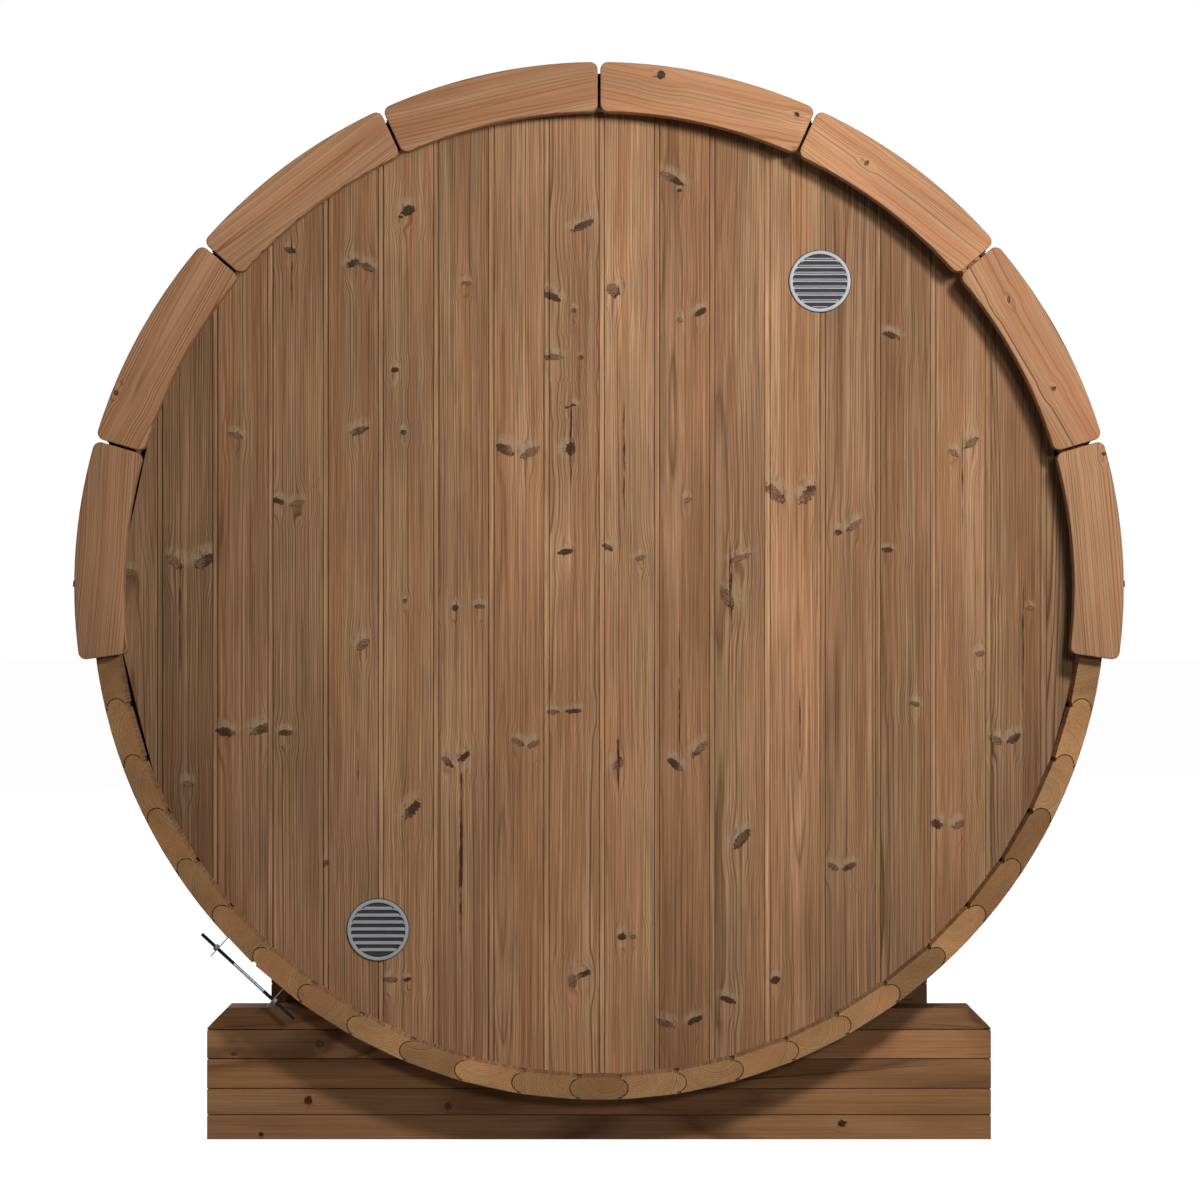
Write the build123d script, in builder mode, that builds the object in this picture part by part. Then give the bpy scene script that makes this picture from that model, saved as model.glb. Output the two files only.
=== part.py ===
from build123d import *

import os
from math import acos, asin, ceil, cos, degrees, pi, radians, sin, sqrt

# A barrel sauna seen from its rear: a lying barrel of bead-and-cove staves in two
# steel bands, two recessed end walls, ring boards on both ends, a shingled roof and
# two cradles. Millimetres, +Z up, the barrel's axis along Y, the rear wall towards
# -Y, the door towards +Y, and the origin on the ground under the barrel's middle.

# Barrel
barrel_length = 1800
stave_outer_radius = 1000
ground_clearance = 102
stave_thickness = 42
stave_width = 115.3
starter_width = 90
least_closing_width = 45
end_staves = 3
groups_a_side = 3
bead_depth = 12.5
bead_flats = 3
notch_width = 10
notch_depth = 4
notch_slope = 2
joint_gap = 0.3

# End walls of vertical boards, let into a shallow groove in the staves' inner faces
wall_recess = 68
wall_thickness = 42
wall_board_width = 110
wall_notch_width = 12
wall_notch_depth = 4
croze_depth = 3.5
croze_clearance = 0.3

# Ring boards on the ends of the barrel
trim_lift = 11
trim_stand_out = 30
trim_stand_in = 25
trim_thickness = 40
trim_reach = 98.2
trims_a_side = 4
trim_gap = 5
trim_corner_cut = 9
trim_edge = 3

# Bands and their tensioners
band_thickness = 2
band_width = 24
band_inset = 10
band_clearance = 0.3
band_sides = 48
tensioner_climb = -42.8
ear_spacing = 151
ear_reach = 50
rod_radius = 4
rod_offset = 30
rod_length = 250
rod_shift = 7
rod_clearance = 0.5
nut_across_flats = 13
nut_thickness = 6.5
rod_sides = 12

# Roof
roof_cover = 11
course_exposure = 144
course_butt = 3
roof_clearance = 0.3
drip_kick = 27
drip_drop = 26
drip_thickness = 4
batten_height = 48
batten_setback = 6
cap_width = 220
cap_thickness = 3

# Cradles
cradle_width = 1580
cradle_depth = 92
cradle_inset = 150
cradle_board_heights = (50, 53, 60, 59, 44)
cradle_gap = 0.3
cradle_edge = 1.5
saddle_width = 1280
saddle_thickness = 42
saddle_tip_flat = 4

# Vents in the rear wall
vent_joint = 4
upper_vent_margin = 198
lower_vent_margin = 155
vent_radius = 62.5
vent_flange = 5
vent_bevel = 2.5
vent_hole_radius = 52
spigot_wall = 2
spigot_length = 30
vent_sides = 32
louvre_count = 8
blade_depth = 10
blade_thickness = 1.6
blade_slope = 40
shutter_size = 130
shutter_thickness = 12
shutter_rail_length = 260
shutter_rail_width = 22
shutter_rail_thickness = 16
shutter_knob = 24
shutter_knob_length = 22

# Door in the front wall
door_width = 620
door_head_margin = 22
door_foot_margin = 8
door_clearance = 4
door_board_count = 5
frame_width = 45
frame_proud = 10
ledge_height = 90
ledge_thickness = 22
ledge_inset = 190
ledge_end_inset = 45
ledge_edge = 3
hinge_height = 70
hinge_leaf = 32
hinge_plate = 2.5
knuckle_radius = 6
handle_length = 420
handle_width = 32
handle_corner = 8
handle_thickness = 28
handle_post = 26
handle_inset = 60

# Floor grating
floor_slat_thickness = 22
floor_slat_gap = 12
floor_slat_count = 7
floor_end_gap = 12
floor_drop = 3
bearer_thickness = 45
bearer_inset = 90
bearer_count = 3

# Lines that several pieces share
barrel_half = barrel_length / 2
barrel_axis_height = stave_outer_radius + ground_clearance
stave_inner_radius = stave_outer_radius - stave_thickness
stave_mid_radius = stave_outer_radius - stave_thickness / 2
bead_half = stave_thickness / 2 - notch_depth
bead_radius = (bead_half**2 + bead_depth**2) / (2 * bead_depth)
croze_radius = stave_inner_radius + croze_depth
wall_outer = barrel_half - wall_recess
wall_inner = wall_outer - wall_thickness
trim_centre_height = barrel_axis_height + trim_lift
trim_outer_radius = stave_outer_radius + trim_stand_out
trim_inner_radius = stave_inner_radius - trim_stand_in
roof_outer_radius = stave_outer_radius + roof_cover
drip_reach = roof_outer_radius + drip_kick
batten_reach = drip_reach - batten_setback
band_inner_radius = stave_outer_radius + band_clearance
band_outer_radius = band_inner_radius + band_thickness
cover_inner_radius = band_outer_radius / cos(pi / band_sides) + roof_clearance

os.makedirs("parts", exist_ok=True)


def cross_section(height, y=0):
    """Plane across the barrel at y, its own origin on the centre line at a height."""
    return Plane(origin=(0, y, height), x_dir=(1, 0, 0), z_dir=(0, -1, 0))


def rim_point(climb, radius, ahead=0):
    """Point on the line that leaves the centre, climb degrees up from straight down.

    Positive angles climb the +X side. The point lies ahead of the line, up the rim.
    """
    turn = radians(climb)
    return (radius * sin(turn) + ahead * cos(turn), ahead * sin(turn) - radius * cos(turn))


def save(piece, name):
    """Label a finished piece and write it."""
    piece.label = name
    export_step(piece, "parts/" + name + ".step")


# Staves. Each has a half-round bead on its upper edge, which the cove in the next
# stave's lower edge covers, and a shallow notch beside the bead on both faces. The
# bottom stave has two beads, and the last one, at the top, has two coves.


def stave_edge(climb, shape, side):
    """Outline of one long edge of a stave, from its inner face to its outer one."""
    if shape == "bead":
        line = 0
        radius = bead_radius
        way = side
        corner = notch_width
        notch = [
            rim_point(climb, stave_inner_radius + notch_depth, side * (notch_slope - notch_width)),
            rim_point(climb, stave_outer_radius - notch_depth, side * (notch_slope - notch_width)),
        ]
    else:
        line = joint_gap
        radius = bead_radius + joint_gap
        way = -side
        corner = joint_gap
        notch = []
    centre = bead_radius - bead_depth
    sweep = acos((centre + line) / radius)
    round_part = []
    for index in range(bead_flats + 1):
        turn = sweep * (2 * index / bead_flats - 1)
        height = stave_mid_radius + radius * sin(turn)
        round_part.append(rim_point(climb, height, way * (radius * cos(turn) - centre)))
    return [
        rim_point(climb, stave_inner_radius, -side * corner),
        *notch[:1],
        *round_part,
        *notch[1:],
        rim_point(climb, stave_outer_radius, -side * corner),
    ]


def stave(start, start_shape, end, end_shape):
    """Solid stave between two joints of the ring, with the grooves for both end walls."""
    outline = stave_edge(start, start_shape, -1) + stave_edge(end, end_shape, 1)[::-1]
    with BuildPart() as piece:
        with BuildSketch(cross_section(barrel_axis_height)):
            Polygon(*outline, align=None)
        extrude(amount=barrel_half, both=True)
        for side in (-1, 1):
            groove_middle = side * (wall_outer + wall_inner) / 2
            with BuildSketch(cross_section(barrel_axis_height, groove_middle)):
                Circle(croze_radius)
            extrude(
                amount=wall_thickness / 2 + croze_clearance,
                both=True,
                mode=Mode.SUBTRACT,
            )
    return piece.part


starter_half = degrees(starter_width / 2 / stave_mid_radius)
stave_pitch = degrees(stave_width / stave_mid_radius)
closing_half_least = degrees(least_closing_width / 2 / stave_mid_radius)
staves_a_side = int((180 - starter_half - closing_half_least) / stave_pitch)
closing_half = 180 - starter_half - staves_a_side * stave_pitch


def side_staves(side, first, last):
    """Regular staves of one side, counted up from the bottom stave."""
    made = []
    for index in range(first, last):
        low = starter_half + index * stave_pitch
        high = low + stave_pitch
        if side > 0:
            made.append(stave(low, "cove", high, "bead"))
        else:
            made.append(stave(-high, "bead", -low, "cove"))
    return made


top_start = staves_a_side - end_staves
outer_group = ceil((top_start - end_staves) / groups_a_side)
first_cut = end_staves + outer_group
second_cut = top_start - outer_group

bottom_group = (
    side_staves(-1, 0, end_staves)
    + [stave(-starter_half, "bead", starter_half, "bead")]
    + side_staves(1, 0, end_staves)
)
top_group = (
    side_staves(-1, top_start, staves_a_side)
    + [stave(180 - closing_half, "cove", 180 + closing_half, "cove")]
    + side_staves(1, top_start, staves_a_side)
)
stave_groups = {"bottom_staves": bottom_group, "top_staves": top_group}
for side, word in ((-1, "left"), (1, "right")):
    stave_groups[word + "_lower_staves"] = side_staves(side, end_staves, first_cut)
    stave_groups[word + "_middle_staves"] = side_staves(side, first_cut, second_cut)
    stave_groups[word + "_upper_staves"] = side_staves(side, second_cut, top_start)

for name, pieces in stave_groups.items():
    save(Compound(children=pieces), name)


# End walls. Vertical boards with a shallow notch along the left edge of the outer face.
# Their ends follow the ring and sit in the grooves of the staves.


def wall_board(index, outer, out):
    """Board from its joint line to the next, its outer face at y = outer, facing out."""
    left = index * wall_board_width
    right = left + wall_board_width - joint_gap
    inner = outer - out * wall_thickness
    middle = (outer + inner) / 2
    notch = out * wall_notch_depth
    with BuildPart() as piece:
        with BuildSketch(Plane.XY.offset(barrel_axis_height)):
            Polygon(
                (left + wall_notch_width, outer),
                (right, outer),
                (right, inner),
                (left, inner),
                (left, outer - notch),
                (left + wall_notch_width - notch_slope, outer - notch),
                align=None,
            )
        extrude(amount=stave_outer_radius, both=True)
        with BuildSketch(cross_section(barrel_axis_height, middle)):
            Circle(croze_radius - croze_clearance)
        extrude(amount=wall_thickness, both=True, mode=Mode.INTERSECT)
    return piece.part


boards_a_side = int(croze_radius / wall_board_width) + 1
vent_x = vent_joint * wall_board_width
upper_vent_rise = sqrt((stave_inner_radius - upper_vent_margin) ** 2 - vent_x**2)
lower_vent_drop = sqrt((stave_inner_radius - lower_vent_margin) ** 2 - vent_x**2)
vents = {
    "upper_vent": (vent_x, barrel_axis_height + upper_vent_rise),
    "lower_vent": (-vent_x, barrel_axis_height - lower_vent_drop),
}

for word, first, last in (("left", -boards_a_side, 0), ("right", 0, boards_a_side)):
    with BuildPart() as rear_wall_half:
        for index in range(first, last):
            add(wall_board(index, -wall_outer, -1))
        for x, z in vents.values():
            with BuildSketch(cross_section(z, -wall_outer)):
                with Locations((x, 0)):
                    RegularPolygon(vent_hole_radius, vent_sides, major_radius=False)
            extrude(amount=wall_thickness * 2, both=True, mode=Mode.SUBTRACT)
    save(rear_wall_half.part, "rear_wall_" + word)

# Front wall with its doorway
door_half = door_width / 2
doorway_half = door_half + frame_width
doorway_room = sqrt(stave_inner_radius**2 - doorway_half**2)
doorway_bottom = barrel_axis_height - doorway_room + door_foot_margin
doorway_top = barrel_axis_height + doorway_room - door_head_margin
door_sill_height = doorway_bottom + frame_width
door_height = doorway_top - frame_width - door_sill_height

with BuildPart() as front_boards:
    for index in range(-boards_a_side, boards_a_side):
        add(wall_board(index, wall_outer, 1))
    with BuildSketch(cross_section((doorway_bottom + doorway_top) / 2)):
        Rectangle(2 * doorway_half, doorway_top - doorway_bottom)
    extrude(amount=-barrel_length, mode=Mode.SUBTRACT)

beside = front_boards.part.solids().sort_by(Axis.X)
over_door = [
    board
    for board in beside
    if abs(board.center().X) < doorway_half + wall_board_width
    and board.bounding_box().min.Z > doorway_top - joint_gap
]
under_door = [
    board
    for board in beside
    if abs(board.center().X) < doorway_half + wall_board_width
    and board.bounding_box().max.Z < doorway_bottom + joint_gap
]
flanking = [board for board in beside if board not in over_door and board not in under_door]
save(Compound(children=[board for board in flanking if board.center().X < 0]), "front_wall_left")
save(Compound(children=[board for board in flanking if board.center().X > 0]), "front_wall_right")
save(Compound(children=over_door), "front_wall_over_door")
save(Compound(children=under_door), "front_wall_under_door")


# Ring boards. Four a side cover the stave ends from the top down to just below the
# middle, with square gaps between them and eased corners and edges.
trim_pitch = trim_reach / trims_a_side


def trim_corner(climb, radius, ahead):
    """Corner of a ring board, beside a joint line and on the arc of that radius."""
    return rim_point(climb, sqrt(radius**2 - ahead**2), ahead)


def trim_board(low, high, face):
    """Ring board between two joint lines, on the barrel's end at y = face."""
    middle = (low + high) / 2
    half_gap = trim_gap / 2
    direction = 1 if face < 0 else -1
    with BuildPart() as piece:
        with BuildSketch(cross_section(trim_centre_height, face)):
            with BuildLine():
                outer_low = trim_corner(low, trim_outer_radius, half_gap)
                outer_high = trim_corner(high, trim_outer_radius, -half_gap)
                inner_low = trim_corner(low, trim_inner_radius, half_gap)
                inner_high = trim_corner(high, trim_inner_radius, -half_gap)
                ThreePointArc(outer_low, rim_point(middle, trim_outer_radius), outer_high)
                Line(outer_high, inner_high)
                ThreePointArc(inner_high, rim_point(middle, trim_inner_radius), inner_low)
                Line(inner_low, outer_low)
            make_face()
            chamfer(vertices(), trim_corner_cut)
        extrude(amount=direction * trim_thickness)
        chamfer(piece.faces().sort_by(Axis.Y)[0 if face < 0 else -1].edges(), trim_edge)
    return piece.part


for end, face in (("rear", -barrel_half), ("front", barrel_half)):
    for word, side in (("left", -1), ("right", 1)):
        boards = []
        for index in range(trims_a_side):
            high = side * (180 - index * trim_pitch)
            low = side * (180 - (index + 1) * trim_pitch)
            boards.append(trim_board(min(low, high), max(low, high), face))
        save(Compound(children=boards), end + "_trims_" + word)


# Steel bands. Each runs round the staves and turns out into two ears at the lower
# left, which a threaded rod with two nuts draws together.
tensioner_plane = Plane(
    origin=(0, 0, barrel_axis_height),
    x_dir=(cos(radians(tensioner_climb)), 0, sin(radians(tensioner_climb))),
    z_dir=(0, -1, 0),
)
ear_half = ear_spacing / 2
ear_tip = stave_outer_radius + ear_reach
rod_line = stave_outer_radius + rod_offset

for end, direction in (("rear", -1), ("front", 1)):
    band_middle = direction * (barrel_half - band_inset - band_width / 2)
    local = tensioner_plane.offset(-band_middle)
    with BuildPart() as band:
        with BuildSketch(local):
            RegularPolygon(band_outer_radius, band_sides, major_radius=False)
            with Locations((0, -ear_tip / 2)):
                Rectangle(ear_spacing, ear_tip)
            RegularPolygon(band_inner_radius, band_sides, major_radius=False, mode=Mode.SUBTRACT)
            with Locations((0, -ear_tip)):
                Rectangle(ear_spacing - 2 * band_thickness, 2 * (ear_tip - stave_inner_radius),
                          mode=Mode.SUBTRACT)
        extrude(amount=band_width / 2, both=True)
        with BuildSketch(Plane(origin=local.from_local_coords((0, -rod_line, 0)), z_dir=local.x_dir)):
            RegularPolygon(rod_radius + rod_clearance, rod_sides, major_radius=False)
        extrude(amount=ear_spacing, both=True, mode=Mode.SUBTRACT)
    save(band.part, end + "_band")

    rod_plane = Plane(
        origin=local.from_local_coords((rod_shift, -rod_line, 0)),
        x_dir=(0, 1, 0),
        z_dir=local.x_dir,
    )
    with BuildPart() as rod:
        with BuildSketch(rod_plane):
            RegularPolygon(rod_radius, rod_sides)
        extrude(amount=rod_length / 2, both=True)
    save(rod.part, end + "_tension_rod")

    nuts = []
    for way in (-1, 1):
        seat = Plane(
            origin=local.from_local_coords((way * ear_half, -rod_line, 0)),
            x_dir=(0, 1, 0),
            z_dir=local.x_dir * way,
        )
        with BuildPart() as nut:
            with BuildSketch(seat):
                RegularPolygon(nut_across_flats / 2, 6, major_radius=False)
                RegularPolygon(rod_radius + joint_gap, rod_sides, major_radius=False, mode=Mode.SUBTRACT)
            extrude(amount=nut_thickness)
        nuts.append(nut.part)
    save(Compound(children=nuts), end + "_tension_nuts")


# Roof. Courses of shingles lap from the eaves to the top, each butt standing over
# the course below. The lowest one turns out over a wooden drip batten, and a cap
# lies over the line where the two sides meet at the top.
eaves_climb = 90
crown_climb = 180
kick_climb = eaves_climb + degrees(asin(drip_drop / roof_outer_radius))
course_count = round(pi / 2 * roof_outer_radius / course_exposure)
course_step = (crown_climb - eaves_climb) / course_count
course_top_radius = roof_outer_radius - course_butt
foot_height = trim_lift + drip_drop - drip_thickness
batten_bottom = trim_lift + drip_drop - batten_height


def roof_point(climb, radius):
    """Point on a circle about the ring boards' centre, in the barrel's own section."""
    x, z = rim_point(climb, radius)
    return (x, z + trim_lift)


def cover_point(side, height):
    """Point at a height on the circle over the bands, on which the roof lies."""
    return (side * sqrt(cover_inner_radius**2 - height**2), height)


for word, side in (("left", -1), ("right", 1)):
    drip_edge = (side * drip_reach, trim_lift)
    drip_back = (side * (drip_reach - drip_thickness), trim_lift)
    foot = cover_point(side, foot_height)
    crown = (0, cover_inner_radius)
    with BuildPart() as roof:
        with BuildSketch(cross_section(barrel_axis_height)):
            with BuildLine():
                butt = roof_point(side * kick_climb, roof_outer_radius)
                Polyline(foot, drip_back, drip_edge, butt)
                low = kick_climb
                for index in range(1, course_count + 1):
                    high = eaves_climb + index * course_step
                    middle = roof_point(side * (low + high) / 2, roof_outer_radius - course_butt / 2)
                    top = roof_point(side * high, course_top_radius)
                    ThreePointArc(butt, middle, top)
                    butt = roof_point(side * high, roof_outer_radius)
                    if index < course_count:
                        Line(top, butt)
                    low = high
                Line(top, crown)
                shoulder = rim_point(side * (eaves_climb + crown_climb) / 2, cover_inner_radius)
                ThreePointArc(crown, shoulder, foot)
            make_face()
        extrude(amount=barrel_half, both=True)
    save(roof.part, "roof_" + word)

    batten_low = cover_point(side, batten_bottom)
    batten_seat = cover_point(side, (foot_height + batten_bottom) / 2)
    slope = drip_drop - drip_thickness
    slope /= abs(drip_back[0] - foot[0])
    nose = (side * batten_reach, foot_height - slope * abs(side * batten_reach - foot[0]))
    with BuildPart() as batten:
        with BuildSketch(cross_section(barrel_axis_height)):
            with BuildLine():
                Polyline(foot, nose, (side * batten_reach, batten_bottom), batten_low)
                ThreePointArc(batten_low, batten_seat, foot)
            make_face()
        extrude(amount=barrel_half, both=True)
    save(batten.part, "drip_batten_" + word)

cap_climb = degrees(asin(cap_width / 2 / roof_outer_radius))
cap_seat = course_top_radius + course_butt * cap_climb / course_step + roof_clearance
cap_outer = cap_seat + cap_thickness
with BuildPart() as ridge_cap:
    with BuildSketch(cross_section(barrel_axis_height)):
        with BuildLine():
            cap_ends = [roof_point(crown_climb + way * cap_climb, cap_seat) for way in (-1, 1)]
            cap_tops = [roof_point(crown_climb + way * cap_climb, cap_outer) for way in (-1, 1)]
            ThreePointArc(cap_ends[0], roof_point(crown_climb, cap_seat), cap_ends[1])
            Line(cap_ends[1], cap_tops[1])
            ThreePointArc(cap_tops[1], roof_point(crown_climb, cap_outer), cap_tops[0])
            Line(cap_tops[0], cap_ends[0])
        make_face()
    extrude(amount=barrel_half, both=True)
save(ridge_cap.part, "ridge_cap")


# Cradles. Five stacked boards with bevelled top ends carry the barrel in their
# hollow, and a higher saddle board stands against their inner side.
for end, direction in (("rear", -1), ("front", 1)):
    outer_face = direction * (barrel_half - cradle_inset)
    beam_middle = outer_face - direction * cradle_depth / 2
    saddle_middle = outer_face - direction * (cradle_depth + saddle_thickness / 2)
    with BuildPart() as cradle:
        foot = 0
        for index, height in enumerate(cradle_board_heights):
            top = foot + height - joint_gap
            half = cradle_width / 2
            last = index == len(cradle_board_heights) - 1
            bevel = top - foot - cradle_edge if last else cradle_edge
            with BuildSketch(cross_section(0, beam_middle)):
                Polygon(
                    (-half, foot + cradle_edge),
                    (-half + cradle_edge, foot),
                    (half - cradle_edge, foot),
                    (half, foot + cradle_edge),
                    (half, top - bevel),
                    (half - bevel, top),
                    (bevel - half, top),
                    (-half, top - bevel),
                    align=None,
                )
            extrude(amount=cradle_depth / 2, both=True)
            foot += height
        with BuildSketch(cross_section(barrel_axis_height, beam_middle)):
            Circle(stave_outer_radius + cradle_gap)
        extrude(amount=cradle_depth, both=True, mode=Mode.SUBTRACT)
    save(cradle.part, end + "_cradle")

    saddle_half = saddle_width / 2
    saddle_seat = stave_outer_radius + cradle_gap
    saddle_top = barrel_axis_height - sqrt(saddle_seat**2 - (saddle_half - saddle_tip_flat) ** 2)
    with BuildPart() as saddle:
        with BuildSketch(cross_section(0, saddle_middle)):
            with Locations((0, saddle_top / 2)):
                Rectangle(saddle_width, saddle_top)
            with Locations((0, barrel_axis_height)):
                Circle(saddle_seat, mode=Mode.SUBTRACT)
        extrude(amount=saddle_thickness / 2, both=True)
    save(saddle.part, end + "_saddle_board")


# Vents. A round louvred grille with a bevelled rim and a short spigot in the wall's
# hole. Indoors a wooden shutter slides between two rails over the hole.
vent_bore = vent_hole_radius - croze_clearance - spigot_wall

for name, (x, z) in vents.items():
    centre = Plane(origin=(x, -wall_outer, z), x_dir=(1, 0, 0), z_dir=(0, -1, 0))
    blade_pitch = 2 * vent_bore / (louvre_count + 1)
    with BuildPart() as blades:
        for index in range(1, louvre_count + 1):
            blade_plane = Plane(
                origin=(x, -wall_outer, z + index * blade_pitch - vent_bore),
                x_dir=(0, -cos(radians(blade_slope)), -sin(radians(blade_slope))),
                z_dir=(1, 0, 0),
            )
            with BuildSketch(blade_plane):
                Rectangle(blade_depth, blade_thickness)
            extrude(amount=vent_radius, both=True)
        with BuildSketch(centre):
            RegularPolygon(vent_bore + spigot_wall / 2, vent_sides, major_radius=False)
        extrude(amount=vent_radius, both=True, mode=Mode.INTERSECT)

    with BuildPart() as vent:
        with BuildSketch(centre):
            RegularPolygon(vent_radius, vent_sides)
            RegularPolygon(vent_bore, vent_sides, major_radius=False, mode=Mode.SUBTRACT)
        extrude(amount=vent_flange)
        chamfer(vent.faces().sort_by(Axis.Y)[0].outer_wire().edges(), vent_bevel)
        with BuildSketch(centre):
            RegularPolygon(vent_bore + spigot_wall, vent_sides, major_radius=False)
            RegularPolygon(vent_bore, vent_sides, major_radius=False, mode=Mode.SUBTRACT)
        extrude(amount=-spigot_length)
        add(blades.part)
    save(vent.part, name)

shutters = []
for x, z in vents.values():
    indoors = cross_section(z, -wall_inner)
    with BuildPart() as shutter:
        with BuildSketch(indoors):
            with Locations((x, 0)):
                Rectangle(shutter_size, shutter_size)
        extrude(amount=-shutter_thickness)
        with BuildSketch(indoors):
            with Locations((x, 0)):
                RegularPolygon(shutter_knob / 2, rod_sides)
        extrude(amount=-shutter_thickness - shutter_knob_length)
    shutters.append(shutter.part)
    for way in (-1, 1):
        rail_height = way * (shutter_size + shutter_rail_width + 2 * joint_gap) / 2
        with BuildPart() as rail:
            with BuildSketch(indoors):
                with Locations((x, rail_height)):
                    Rectangle(shutter_rail_length, shutter_rail_width)
            extrude(amount=-shutter_rail_thickness)
        shutters.append(rail.part)
save(Compound(children=shutters), "vent_shutters")


# Door. A frame in the doorway, a leaf of upright boards with two ledges behind, three
# hinges on its left edge and a bar handle on its right.
frame_outer = wall_outer + frame_proud
frame_depth = wall_thickness + frame_proud

with BuildPart() as door_frame:
    with BuildSketch(cross_section((doorway_bottom + doorway_top) / 2, frame_outer)):
        Rectangle(2 * doorway_half, doorway_top - doorway_bottom)
        Rectangle(door_width, door_height, mode=Mode.SUBTRACT)
    extrude(amount=frame_depth)
save(door_frame.part, "door_frame")

leaf_half = door_half - door_clearance
leaf_board_width = 2 * leaf_half / door_board_count
leaf_middle_height = door_sill_height + door_height / 2
leaf_height = door_height - 2 * door_clearance
leaf_inner = frame_outer - wall_thickness

leaf_boards = []
for index in range(door_board_count):
    left = -leaf_half + index * leaf_board_width
    right = left + leaf_board_width - (joint_gap if index < door_board_count - 1 else 0)
    with BuildPart() as leaf_board:
        with BuildSketch(Plane.XY.offset(leaf_middle_height)):
            with Locations(((left + right) / 2, (frame_outer + leaf_inner) / 2)):
                Rectangle(right - left, wall_thickness)
            if index > 0:
                with GridLocations(0, wall_thickness, 1, 2):
                    with Locations((left, (frame_outer + leaf_inner) / 2)):
                        Rectangle(2 * wall_notch_width, 2 * wall_notch_depth, mode=Mode.SUBTRACT)
        extrude(amount=leaf_height / 2, both=True)
    leaf_boards.append(leaf_board.part)
save(Compound(children=leaf_boards), "door_leaf")

ledge_heights = (
    door_sill_height + ledge_inset,
    leaf_middle_height,
    door_sill_height + door_height - ledge_inset,
)
with BuildPart() as door_ledges:
    for height in ledge_heights:
        with BuildSketch(cross_section(height, leaf_inner)):
            Rectangle(2 * (leaf_half - ledge_end_inset), ledge_height)
        extrude(amount=ledge_thickness)
    chamfer(door_ledges.faces().sort_by(Axis.Y)[0:3].edges(), ledge_edge)
save(door_ledges.part, "door_ledges")

hinge_x = -door_half + door_clearance / 2
hinges = []
for height in ledge_heights:
    with BuildPart() as hinge:
        with BuildSketch(cross_section(height, frame_outer)):
            with Locations((hinge_x, 0)):
                Rectangle(2 * hinge_leaf, hinge_height)
        extrude(amount=-hinge_plate)
        with BuildSketch(Plane.XY.offset(height)):
            with Locations((hinge_x, frame_outer + knuckle_radius)):
                RegularPolygon(knuckle_radius, rod_sides)
        extrude(amount=hinge_height / 2, both=True)
    hinges.append(hinge.part)
save(Compound(children=hinges), "door_hinges")

handle_x = leaf_half - handle_inset
post_height = handle_length / 2 - handle_thickness
for name, face, way in (
    ("door_handle_outer", frame_outer, -1),
    ("door_handle_inner", leaf_inner, 1),
):
    with BuildPart() as handle:
        with BuildSketch(cross_section(leaf_middle_height, face)):
            with GridLocations(0, 2 * post_height, 1, 2):
                with Locations((handle_x, 0)):
                    Rectangle(handle_thickness, handle_thickness)
        extrude(amount=way * (handle_post + handle_thickness / 2))
        bar_y = face - way * handle_post
        with BuildSketch(cross_section(leaf_middle_height, bar_y)):
            with Locations((handle_x, 0)):
                Rectangle(handle_width, handle_length)
            chamfer(vertices(), handle_corner)
        extrude(amount=way * handle_thickness)
    save(handle.part, name)


# Floor grating of lengthwise slats on bearers whose undersides follow the staves
floor_top = door_sill_height - floor_drop
slat_bottom = floor_top - floor_slat_thickness
slat_pitch = (2 * doorway_half + floor_slat_gap) / floor_slat_count
floor_slat_width = slat_pitch - floor_slat_gap
floor_half_length = wall_inner - floor_end_gap

with BuildPart() as floor_slats:
    with BuildSketch(cross_section(slat_bottom + floor_slat_thickness / 2)):
        with GridLocations(slat_pitch, 0, floor_slat_count, 1):
            Rectangle(floor_slat_width, floor_slat_thickness)
    extrude(amount=floor_half_length, both=True)
save(floor_slats.part, "floor_slats")

bearer_seat = stave_inner_radius * cos(radians(stave_pitch / 2)) - joint_gap
bearer_pitch = 2 * (floor_half_length - bearer_inset) / (bearer_count - 1)
with BuildPart() as floor_bearers:
    for index in range(bearer_count):
        y = (index - (bearer_count - 1) / 2) * bearer_pitch
        with BuildSketch(cross_section(0, y)):
            with Locations((0, slat_bottom / 2)):
                Rectangle(2 * doorway_half, slat_bottom)
            with Locations((0, barrel_axis_height)):
                Circle(bearer_seat, mode=Mode.INTERSECT)
        extrude(amount=bearer_thickness / 2, both=True)
save(floor_bearers.part, "floor_bearers")
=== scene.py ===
from math import acos, asin, ceil, cos, degrees, pi, radians, sin, sqrt
from random import Random

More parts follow.
